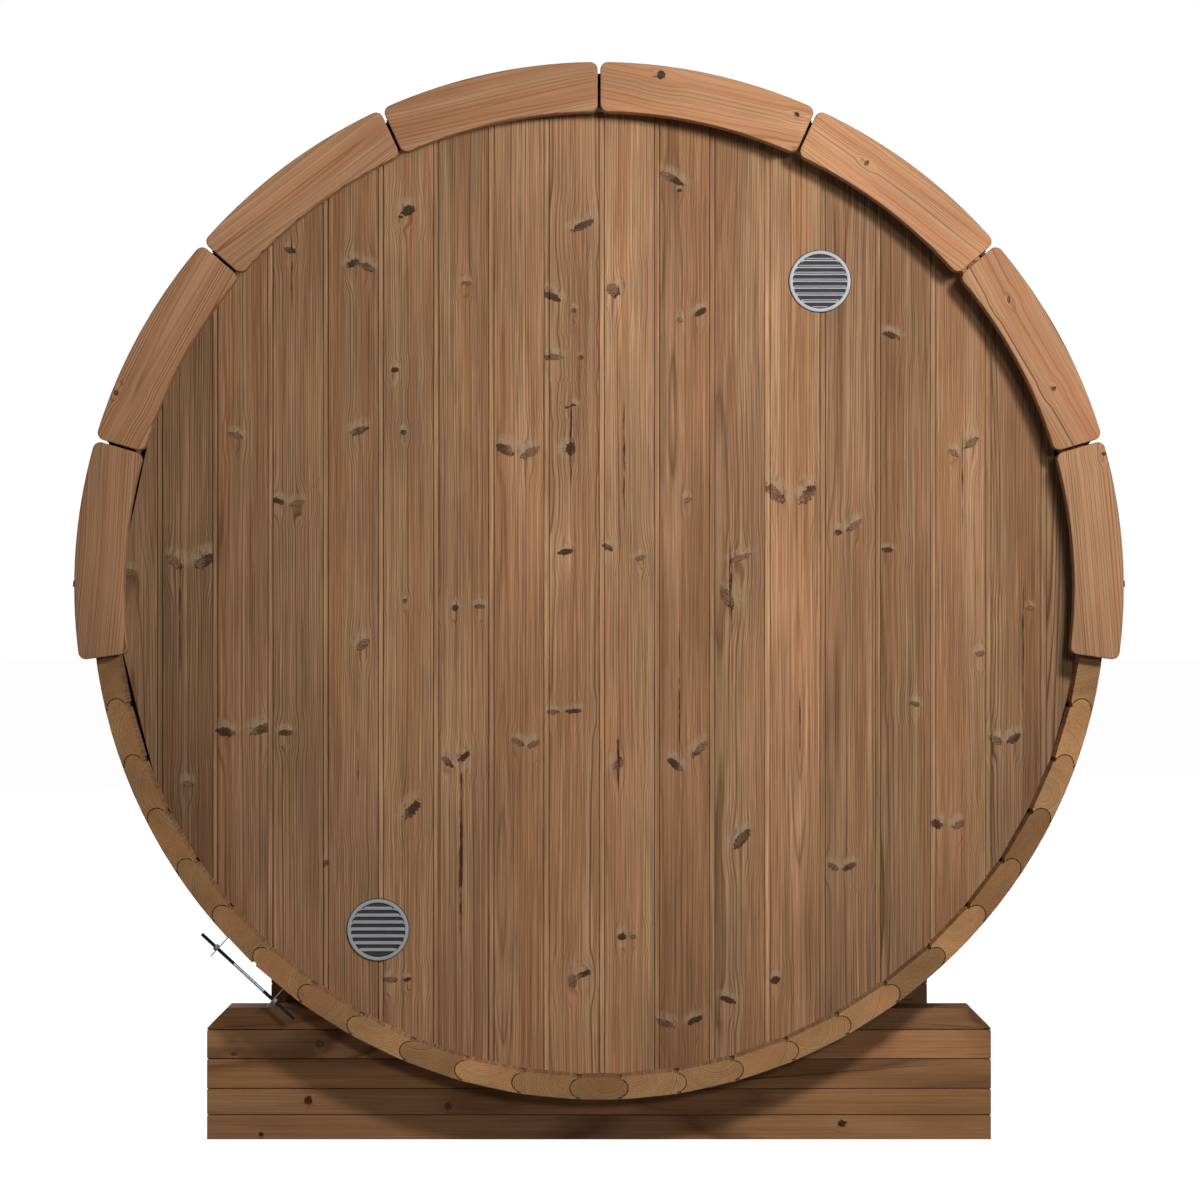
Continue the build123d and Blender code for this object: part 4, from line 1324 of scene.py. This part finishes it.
def planed_bar(boards, dice, corners, edge, low, high, to_world, to_place, knots=None, round_all=True):
    """Bar with a planed profile, its long edges rounded, from low to high along the grain."""
    marked = [(corner, True) for corner in corners] if round_all else corners
    outline = rounded(marked, edge, bar_edge_steps)
    drawn = inset(outline, edge / 2)
    levels = [
        [to_world(point, low) for point in drawn], [to_world(point, low + edge / 2) for point in outline],
        [to_world(point, high - edge / 2) for point in outline], [to_world(point, high) for point in drawn],
    ]
    board = own_look(dice)
    loft(boards, levels, to_place, board, [knots] * 3, (True, True))


dice = Random(61)
low_z = roof_lift + batten_rise - batten_height
for word, side in (("left", -1), ("right", 1)):
    seat_top = sqrt(cover_inner**2 - foot_z**2)
    seat_low = sqrt(cover_inner**2 - low_z**2)
    slope = (batten_rise - drip_thickness) / (drip_reach - drip_thickness - seat_top)
    nose_z = foot_z - slope * (batten_reach - seat_top)
    corners = [
        ((side * seat_low, low_z), False), ((side * batten_reach, low_z), True),
        ((side * batten_reach, nose_z), True), ((side * seat_top, foot_z), False),
        ((side * sqrt(cover_inner**2 - roof_lift**2), roof_lift), False),
    ]
    if side < 0:
        corners = corners[::-1]
    boards = new_boards()
    knots = ((0.0, -0.6, 0.006, 0.006, 0), (0.008, 0.3, 0.005, 0.005, 0), None)
    planed_bar(
        boards, dice, corners, batten_edge, -roof_half, roof_half,
        lambda point, y: (point[0], y, point[1] + barrel_axis_height),
        lambda spot, side=side: (spot[2] - barrel_axis_height, spot[0] * side - batten_reach, spot[1]),
        knots, round_all=False,
    )
    batten = finished("planed_batten_" + word, boards, trim_wood, trim_end)
    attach(batten, "root")
    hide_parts("drip_batten_" + word)


# Vents. Round grey-painted grilles, a face plate with eight long slots and a slat behind
# each, over a dark disc: painted shade in the slots, and a painted contact shadow where its
# edge shows round the rim against the wall. A spigot fills the hole. The lower one's slats
# stand open. Indoors a wooden shutter slides between rails.
vent_radius = 0.0625
vent_flange = 0.005
vent_bore = 0.0497
spigot_wall = 0.002
spigot_length = 0.030
shade_disc_thickness = 0.001
face_radius = 0.0611
face_bevel = 0.0009
slot_reach = 0.0542
slot_pitch = 0.01375
slot_height = 0.0110
slot_fillet = ((-0.002, 0.0030), (0.0, 0.0020), (0.0012, 0.0009), (0.0028, 0.0002), (0.0045, 0.0))
slot_count = 8
slat_thickness = 0.0012
slat_clearance = 0.0012
slat_depth = 0.0027
slat_taper = ((-1, 0.55), (-0.99, 0.9), (-0.975, 1), (0.975, 1), (0.99, 0.9), (1, 0.55))
bar_shoulder = 0.0008
bar_crown = 0.0003
slat_looks = {"upper_vent": (0.0019, 0.0019, -10), "lower_vent": (-0.0004, 0.0039, 32)}
vent_steps = 72

vent_paint, tree, surface = plain_material("satin_grey_paint", 0.45)
color = blend(tree, object_noise(tree, 25, 4.0), (0.245, 0.245, 0.253, 1), (0.19, 0.19, 0.198, 1))
tree.links.new(color, surface.inputs["Base Color"])
tree.links.new(reckon(tree, "MULTIPLY_ADD", object_noise(tree, 90), 0.2, 0.38), surface.inputs["Roughness"])
emboss(tree, surface, object_noise(tree, 900), 0.3, 0.0001)
# Near-black disc material: painted shade for the depth of the slots and painted contact shadow round the rim.
vent_shade_disc, tree, surface = plain_material("painted_shade_vent_disc", 0.8)
surface.inputs["Specular IOR Level"].default_value = 0.1
color = blend(tree, object_noise(tree, 40, 4.0), (0.024, 0.024, 0.026, 1), (0.042, 0.042, 0.045, 1))
tree.links.new(color, surface.inputs["Base Color"])
emboss(tree, surface, object_noise(tree, 1500), 0.5, 0.0002)


def turned_ring(mesh, centre, profile, slot):
    """Ring turned about an axis along Y, from (radius, height over the wall) points."""
    rings = []
    for step in range(vent_steps):
        turn = 2 * pi * step / vent_steps
        ring = []
        for radius, out in profile:
            ring.append(mesh.verts.new(centre + Vector((radius * cos(turn), -out, radius * sin(turn)))))
        rings.append(ring)
    for index in range(vent_steps):
        for place in range(len(profile)):
            face = mesh.faces.new((rings[index - 1][place - 1], rings[index - 1][place],
                                   rings[index][place], rings[index][place - 1]))
            face.smooth = True
            face.material_index = slot


for name, (low, high) in vent_boxes.items():
    centre = Vector(((low.x + high.x) / 2, -wall_outer, (low.z + high.z) / 2))
    grille = bmesh.new()
    face = rounded((((slot_reach, shade_disc_thickness), False), ((face_radius, shade_disc_thickness), False),
                    ((face_radius, vent_flange), True), ((slot_reach, vent_flange), True)), face_bevel, 4)
    turned_ring(grille, centre, face, 0)
    bar_half = (slot_pitch - slot_height) / 2
    shoulder, crown = vent_flange - bar_shoulder, vent_flange - bar_crown
    bar_section = ((shade_disc_thickness, -1), (shoulder, -1), (crown, -0.75),
                   (crown, 0.75), (shoulder, 1), (shade_disc_thickness, 1))
    for index in range(1, slot_count):
        level = (index - slot_count / 2) * slot_pitch
        edge = sqrt(slot_reach**2 - level**2)
        stops = [(side * (edge - back), flare) for side, order in ((-1, 1), (1, -1))
                 for back, flare in slot_fillet[::order]]
        skin(grille, [[centre + Vector((x, -out, level + high * (bar_half + flare)))
                       for out, high in bar_section] for x, flare in stops])
    turned_ring(grille, centre, ((vent_bore, 0), (vent_bore + spigot_wall, 0),
                                 (vent_bore + spigot_wall, -spigot_length), (vent_bore, -spigot_length)), 0)
    turns = [2 * pi * step / vent_steps for step in range(vent_steps)]
    # Dark disc behind the grille: painted shade in the slots, its edge beyond the face plate a painted
    # contact shadow round the rim.
    rims = [[centre + Vector((vent_radius * cos(turn), -out, vent_radius * sin(turn))) for turn in turns]
            for out in (0, shade_disc_thickness)]
    skin(grille, rims, slot=1)
    gap, tall, lean = slat_looks[name]
    slat_way = Vector((0, sin(radians(lean)), cos(radians(lean))))
    slat_out = Vector((0, -cos(radians(lean)), sin(radians(lean))))
    for index in range(slot_count):
        level = (index - slot_count / 2) * slot_pitch + bar_half + gap + tall / 2
        if abs(level) + tall / 2 > slot_reach - slat_clearance:
            continue
        reach = sqrt(slot_reach**2 - (abs(level) + tall / 2) ** 2) - slat_clearance
        rings = []
        for share, narrow in slat_taper:
            ring = []
            for along, up in ((-1, -1), (1, -1), (1, 1), (-1, 1)):
                offset = slat_way * along * narrow * tall / 2 + slat_out * up * slat_thickness / 2
                ring.append(centre + offset + Vector((share * reach, -slat_depth, level)))
            rings.append(ring)
        skin(grille, rings)
    vent = finished(name + "_grille", grille, vent_paint, vent_shade_disc)
    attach(vent, "root")
    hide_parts(name)

shutter_half = 0.065
shutter_thickness = 0.012
rail_half_length = 0.130
rail_width = 0.022
rail_thickness = 0.016
knob_radius = 0.012
knob_length = 0.022
knob_steps = 20
knob_shape = ((0, 0.55), (0.35, 0.42), (0.6, 0.85), (0.85, 1.0), (0.96, 0.9), (1.0, 0.7))
knob_look = (0.4, 0.3, 0.2)
joinery_edge = 0.0015
door_wood = timber("door_wood", (0.25, 0.14, 0.074), (0.115, 0.052, 0.024), (0.20, 0.085, 0.038),
                   (0.07, 0.032, 0.018), ring_width=0.0036, contrast=0.85)
door_end = timber("door_end_grain", (0.20, 0.11, 0.056), (0.10, 0.046, 0.022), (0.17, 0.078, 0.036),
                  (0.05, 0.028, 0.018), ring_width=0.0036, contrast=0.9, streaks=0.4)
wall_inner = wall_outer - wall_thickness
dice = Random(71)
boards = new_boards()


def box_corners(left, right, low, high):
    """Corners of a rectangle, counter-clockwise."""
    return [(left, low), (right, low), (right, high), (left, high)]


def turned_knob(boards, centre, way, length, radius):
    """Knob turned from wood, standing out of a board along Y."""
    levels = []
    for share, swell in knob_shape:
        level = []
        for step in range(knob_steps):
            turn = 2 * pi * step / knob_steps
            level.append((centre[0] + radius * swell * cos(turn), centre[1] + way * length * share,
                          centre[2] + radius * swell * sin(turn)))
        levels.append(level)
    loft(boards, levels, lambda spot: (spot[0] - centre[0], spot[2] - centre[2], spot[1]),
         knob_look, None, (True, True))


for low, high in vent_boxes.values():
    x, z = (low.x + high.x) / 2, (low.z + high.z) / 2
    inner_y = -wall_inner
    planed_bar(
        boards, dice, box_corners(x - shutter_half, x + shutter_half, inner_y, inner_y + shutter_thickness),
        joinery_edge, z - shutter_half, z + shutter_half, upright, standing(x, inner_y),
    )
    turned_knob(boards, (x, inner_y + shutter_thickness, z), 1, knob_length, knob_radius)
    for way in (-1, 1):
        rail_z = z + way * (shutter_half + rail_width / 2 + stave_joint)
        planed_bar(
            boards, dice,
            box_corners(inner_y, inner_y + rail_thickness, rail_z - rail_width / 2, rail_z + rail_width / 2),
            joinery_edge, x - rail_half_length, x + rail_half_length,
            lambda point, along: (along, point[0], point[1]), lying(rail_z),
        )
shutters = finished("sliding_shutters", boards, door_wood, door_end)
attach(shutters, "root")
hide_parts("vent_shutters")


# Door. A frame with mitred corners stands in the doorway. Its leaf has five upright boards
# with notched joints, screwed to three ledges indoors, hung on three steel hinges, with a
# wooden bar handle on each side.
frame_width = 0.045
frame_mark_length = 0.6
leaf_board_count = 5
leaf_shortest_stretch = 0.2
leaf_longest_stretch = 0.4
leaf_last_stretch = 0.45
leaf_knot_clear = 0.04
hinge_leaf = 0.032
hinge_plate = 0.0025
knuckle_radius = 0.006
screw_radius = 0.0045
screw_line = 0.01984
screw_pitch = 0.024
frame_edge = 0.003
hinge_gap = 0.0012
hinge_corner = 0.004
screw_head = ((-0.0005, screw_radius), (0.0006, screw_radius * 0.9), (0.0011, screw_radius * 0.5))
knuckle_gap = 0.0002
knuckle_chamfer = 0.0006
knuckle_play = 0.0001

frame_low, frame_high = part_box("door_frame")
frame_front = frame_high.y
boards = new_boards()
outside = box_corners(frame_low.x, frame_high.x, frame_low.z, frame_high.z)
inside = box_corners(frame_low.x + frame_width, frame_high.x - frame_width,
                     frame_low.z + frame_width, frame_high.z - frame_width)
for index in range(4):
    corners = [outside[index - 1], outside[index], inside[index], inside[index - 1]]
    is_post = index % 2 == 0
    middle = sum(corner[0 if is_post else 1] for corner in corners) / 4
    mitred = inset(corners, stave_joint / 2)
    sawn_slab(
        boards, [tuple(point) for point in mitred], frame_low.y, frame_high.y, joinery_edge,
        across_barrel, standing(middle, 0) if is_post else lying(middle), own_look(dice),
        board_marks(dice, frame_mark_length, frame_width),
    )
door_frame = finished("mitred_door_frame", boards, door_wood, door_end)
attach(door_frame, "root")
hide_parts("door_frame")

leaf_low, leaf_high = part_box("door_leaf")
leaf_pitch = (leaf_high.x - leaf_low.x) / leaf_board_count
boards = new_boards()
for index in range(leaf_board_count):
    left = leaf_low.x + index * leaf_pitch
    right = left + leaf_pitch - (stave_joint if index < leaf_board_count - 1 else 0)
    front, back = leaf_high.y, leaf_low.y
    profile = [(left, back), (right, back), (right, front), (left, front)]
    if index > 0:
        profile = [
            (left + wall_notch_width, back), (right, back), (right, front), (left + wall_notch_width, front),
            (left + wall_notch_width - wall_notch_slope, front - wall_notch_depth),
            (left, front - wall_notch_depth), (left, back + wall_notch_depth),
            (left + wall_notch_width - wall_notch_slope, back + wall_notch_depth),
        ]
    cuts = [leaf_low.z, leaf_low.z + joinery_edge]
    while cuts[-1] < leaf_high.z - leaf_last_stretch:
        cuts.append(cuts[-1] + dice.uniform(leaf_shortest_stretch, leaf_longest_stretch))
    cuts += [leaf_high.z - joinery_edge, leaf_high.z]
    drawn = inset(profile, joinery_edge)
    levels = []
    knots = []
    for place, z in enumerate(cuts):
        shape = drawn if place in (0, len(cuts) - 1) else profile
        levels.append([(x, y, z) for x, y in shape])
    for bottom, top in zip(cuts, cuts[1:]):
        size = dice.uniform(0.004, 0.010)
        x = dice.uniform(0.02, leaf_pitch - 0.01)
        spot = (x, dice.uniform(bottom + leaf_knot_clear, top - leaf_knot_clear))
        first = None
        if top - bottom > 0.1:
            first = (*spot, size * dice.uniform(1, 2.2), size, dice.uniform(-40, 40))
        knots.append((first, None, None))
    loft(boards, levels, standing(left, leaf_high.y), own_look(dice), knots, (True, True))
leaf = finished("boarded_door_leaf", boards, door_wood, door_end)
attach(leaf, "root")
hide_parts("door_leaf")

ledge_low, ledge_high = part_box("door_ledges")
hinge_low, hinge_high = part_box("door_hinges")
ledge_height = 0.090
ledge_mark_length = 0.4
hinge_tall = 0.070
ledge_half = ledge_height / 2
ledge_levels = (ledge_low.z + ledge_half, (ledge_low.z + ledge_high.z) / 2, ledge_high.z - ledge_half)
boards = new_boards()
for level in ledge_levels:
    outline = box_corners(ledge_low.x, ledge_high.x, level - ledge_half, level + ledge_half)
    sawn_slab(
        boards, outline, ledge_low.y, ledge_high.y, frame_edge, across_barrel, lying(level),
        own_look(dice), board_marks(dice, ledge_mark_length, ledge_height), ends=(1, 0, 0),
    )
ledges = finished("chamfered_ledges", boards, door_wood, door_end)
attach(ledges, "root")
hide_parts("door_ledges")

hinge_x = (hinge_low.x + hinge_high.x) / 2
plates = bmesh.new()


def steel_round(mesh, centre, axis, profile, sides=20):
    """Turned steel shape about an axis, from (place along it, radius) pairs."""
    across = axis.orthogonal().normalized()
    other = axis.cross(across)
    rings = []
    for place, radius in profile:
        ring = []
        for step in range(sides):
            turn = 2 * pi * step / sides
            ring.append(centre + axis * place + across * radius * cos(turn) + other * radius * sin(turn))
        rings.append(ring)
    skin(mesh, rings, smooth=True)


for level in ledge_levels:
    for side in (-1, 1):
        near = hinge_x + side * hinge_gap
        far = hinge_x + side * hinge_leaf
        corners = box_corners(min(near, far), max(near, far), level - hinge_tall / 2, level + hinge_tall / 2)
        outline = rounded([(corner, True) for corner in corners], hinge_corner, 4)
        skin(plates, [[(x, y, z) for x, z in outline] for y in (frame_front, frame_front + hinge_plate)])
        for place in (-1, 0, 1):
            spot = Vector((hinge_x + side * screw_line, frame_front + hinge_plate, level))
            spot.z += place * screw_pitch
            steel_round(plates, spot, Vector((0, 1, 0)), screw_head, 16)
    spot = Vector((hinge_x, frame_front + knuckle_radius, level))
    for place in range(3):
        low = -hinge_tall / 2 + place * hinge_tall / 3 + knuckle_gap
        high = low + hinge_tall / 3 - 2 * knuckle_gap
        slim, full = knuckle_radius - knuckle_chamfer, knuckle_radius - knuckle_play
        knuckle = ((low, slim), (low + knuckle_chamfer, full), (high - knuckle_chamfer, full), (high, slim))
        steel_round(plates, spot, Vector((0, 0, 1)), knuckle)
hinges = finished("butt_hinges", plates, plated_steel_dark_reflection)
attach(hinges, "root")
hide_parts("door_hinges")

handle_post_half = 0.014
grip_edge = 0.009
post_sink = 0.004
for node, way in (("door_handle_outer", 1), ("door_handle_inner", -1)):
    low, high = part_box(node)
    boards = new_boards()
    near, far = (low.y, high.y) if way > 0 else (high.y, low.y)
    middle_x = (low.x + high.x) / 2
    middle_z = (low.z + high.z) / 2
    bar_near = far - way * 2 * handle_post_half
    corners = box_corners(low.x, high.x, min(bar_near, far), max(bar_near, far))
    planed_bar(
        boards, dice, corners, grip_edge, low.z, high.z, upright, standing(middle_x, far),
    )
    for side in (-1, 1):
        post_z = middle_z + side * (high.z - low.z - 4 * handle_post_half) / 2
        sunk = bar_near + way * post_sink
        planed_bar(
            boards, dice,
            box_corners(middle_x - handle_post_half, middle_x + handle_post_half,
                        post_z - handle_post_half, post_z + handle_post_half)[::-1],
            frame_edge, min(near, sunk), max(near, sunk), across_barrel, along_barrel(middle_x, post_z),
        )
    handle = finished(node + "_bar", boards, door_wood, door_end)
    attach(handle, "root")
    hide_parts(node)


# Floor grating. Planed slats run from wall to wall, screwed to bearers whose undersides
# follow the staves.
slat_edge = 0.003
slat_count = 7
slat_mark_length = 1.2
floor_wood = timber("floor_wood", (0.30, 0.175, 0.095), (0.15, 0.074, 0.036), (0.25, 0.12, 0.058),
                    (0.06, 0.03, 0.018), ring_width=0.0040, contrast=0.75)
floor_end = timber("floor_end_grain", (0.25, 0.145, 0.078), (0.13, 0.064, 0.032), (0.21, 0.10, 0.05),
                   (0.055, 0.03, 0.02), ring_width=0.0036, contrast=0.9, streaks=0.4)
slat_low, slat_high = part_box("floor_slats")
slat_gap = 0.012
slat_pitch = (slat_high.x - slat_low.x + slat_gap) / slat_count
dice = Random(83)
boards = new_boards()
for index in range(slat_count):
    left = slat_low.x + index * slat_pitch
    middle = left + (slat_pitch - slat_gap) / 2
    planed_bar(
        boards, dice, box_corners(left, left + slat_pitch - slat_gap, slat_low.z, slat_high.z), slat_edge,
        slat_low.y, slat_high.y, across_barrel, along_barrel(middle, slat_high.z),
        board_marks(dice, slat_mark_length, slat_pitch),
    )
slats = finished("planed_slats", boards, floor_wood, floor_end)
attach(slats, "root")
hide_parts("floor_slats")

bearer_low, bearer_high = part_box("floor_bearers")
bearer_thickness = 0.045
bearer_count = 3
bearer_steps = 24
bearer_mark_length = 0.6
bearer_grain_height = 0.18
bearer_pitch = (bearer_high.y - bearer_low.y - bearer_thickness) / (bearer_count - 1)
bearer_seat = stave_inner_radius * cos(radians(stave_pitch / 2)) - stave_joint
boards = new_boards()
for index in range(bearer_count):
    start = bearer_low.y + index * bearer_pitch
    outline = []
    for step in range(bearer_steps + 1):
        x = bearer_low.x + (bearer_high.x - bearer_low.x) * step / bearer_steps
        outline.append((x, circle_drop(x, bearer_seat, barrel_axis_height)))
    outline += [(bearer_high.x, bearer_high.z), (bearer_low.x, bearer_high.z)]
    sawn_slab(
        boards, outline, start, start + bearer_thickness, joinery_edge, across_barrel,
        lying(bearer_grain_height), own_look(dice), board_marks(dice, bearer_mark_length, trim_mark_width),
        ends=(1, 0, 0),
    )
bearers = finished("curved_bearers", boards, floor_wood, floor_end)
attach(bearers, "root")
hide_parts("floor_bearers")


# Studio. A pale floor in an even white surround. Two small lamps stand right of the camera,
# one far and one near, a weak wide one to the left and a strong wide one behind the barrel.
camera_distance = 7.0
photo_width = 2.354
sensor_width = 36
camera_aside = 0.002
camera_height = 1.087
surround_light = 0.075
floor_grey = 0.30
floor_lift = 0.96
floor_radius = 60
camera = bpy.data.objects.new("camera", bpy.data.cameras.new("camera"))
bpy.context.scene.collection.objects.link(camera)
camera.data.sensor_width = sensor_width
camera.data.lens = sensor_width * camera_distance / photo_width
camera.location = (camera_aside, cad_box[0].y - camera_distance, camera_height)
camera.rotation_euler = (pi / 2, 0, 0)
bpy.context.scene.camera = camera
bpy.context.scene.view_settings.view_transform = "Standard"


def lamp(name, place, aim, size, power):
    """Square area lamp at a place, turned to a point."""
    light = bpy.data.lights.new(name, "AREA")
    light.shape = "SQUARE"
    light.size = size
    light.energy = power
    made = bpy.data.objects.new(name, light)
    bpy.context.scene.collection.objects.link(made)
    made.visible_camera = False
    made.location = place
    made.rotation_euler = (Vector(aim) - Vector(place)).to_track_quat("-Z", "Y").to_euler()
    return made


lamp("key_lamp", (1.3, -9.0, 2.13), (0, 0, 1.1), 0.6, 160)
lamp("near_lamp", (1.15, -3.2, 2.08), (0.1, -0.8, 1.4), 0.3, 81)
lamp("fill_lamp", (-6.0, -6.5, 3.4), (0, 0, 1.1), 3.0, 16)
lamp("back_lamp", (-4.0, 8.5, 6.0), (0, 0, 1.0), 3.5, 800)


def rays_seen(tree):
    """One where the surround itself is seen, nothing where it only gives light."""
    rays = put(tree, "LightPath").outputs
    seen = reckon(tree, "MAXIMUM", rays["Is Camera Ray"], rays["Is Glossy Ray"])
    return reckon(tree, "MAXIMUM", seen, rays["Is Transmission Ray"])


world = bpy.data.worlds.new("surround")
bpy.context.scene.world = world
world.use_nodes = True
tree = world.node_tree
level = reckon(tree, "MULTIPLY_ADD", rays_seen(tree), 1 - surround_light, surround_light)
tree.links.new(level, tree.nodes["Background"].inputs["Strength"])
tree.nodes["Background"].inputs["Color"].default_value = (1, 1, 1, 1)

ground = bmesh.new()
bmesh.ops.create_circle(ground, cap_ends=True, radius=floor_radius, segments=64)
floor_mesh = bpy.data.meshes.new("studio_floor")
ground.to_mesh(floor_mesh)
ground.free()
floor = bpy.data.objects.new("studio_floor", floor_mesh)
bpy.context.scene.collection.objects.link(floor)
floor_paint = bpy.data.materials.new("pale_floor")
floor_paint.use_nodes = True
tree = floor_paint.node_tree
surface = tree.nodes["Principled BSDF"]
surface.inputs["Base Color"].default_value = (floor_grey, floor_grey, floor_grey, 1)
surface.inputs["Roughness"].default_value = 1.0
surface.inputs["Specular IOR Level"].default_value = 0.0
strength = reckon(tree, "MULTIPLY", rays_seen(tree), floor_lift)
lift = put(tree, "Emission", {"Color": (1, 1, 1, 1), "Strength": strength})
both = put(tree, "AddShader", (surface.outputs[0], lift.outputs[0]))
tree.links.new(both.outputs[0], tree.nodes["Material Output"].inputs["Surface"])
floor_mesh.materials.append(floor_paint)
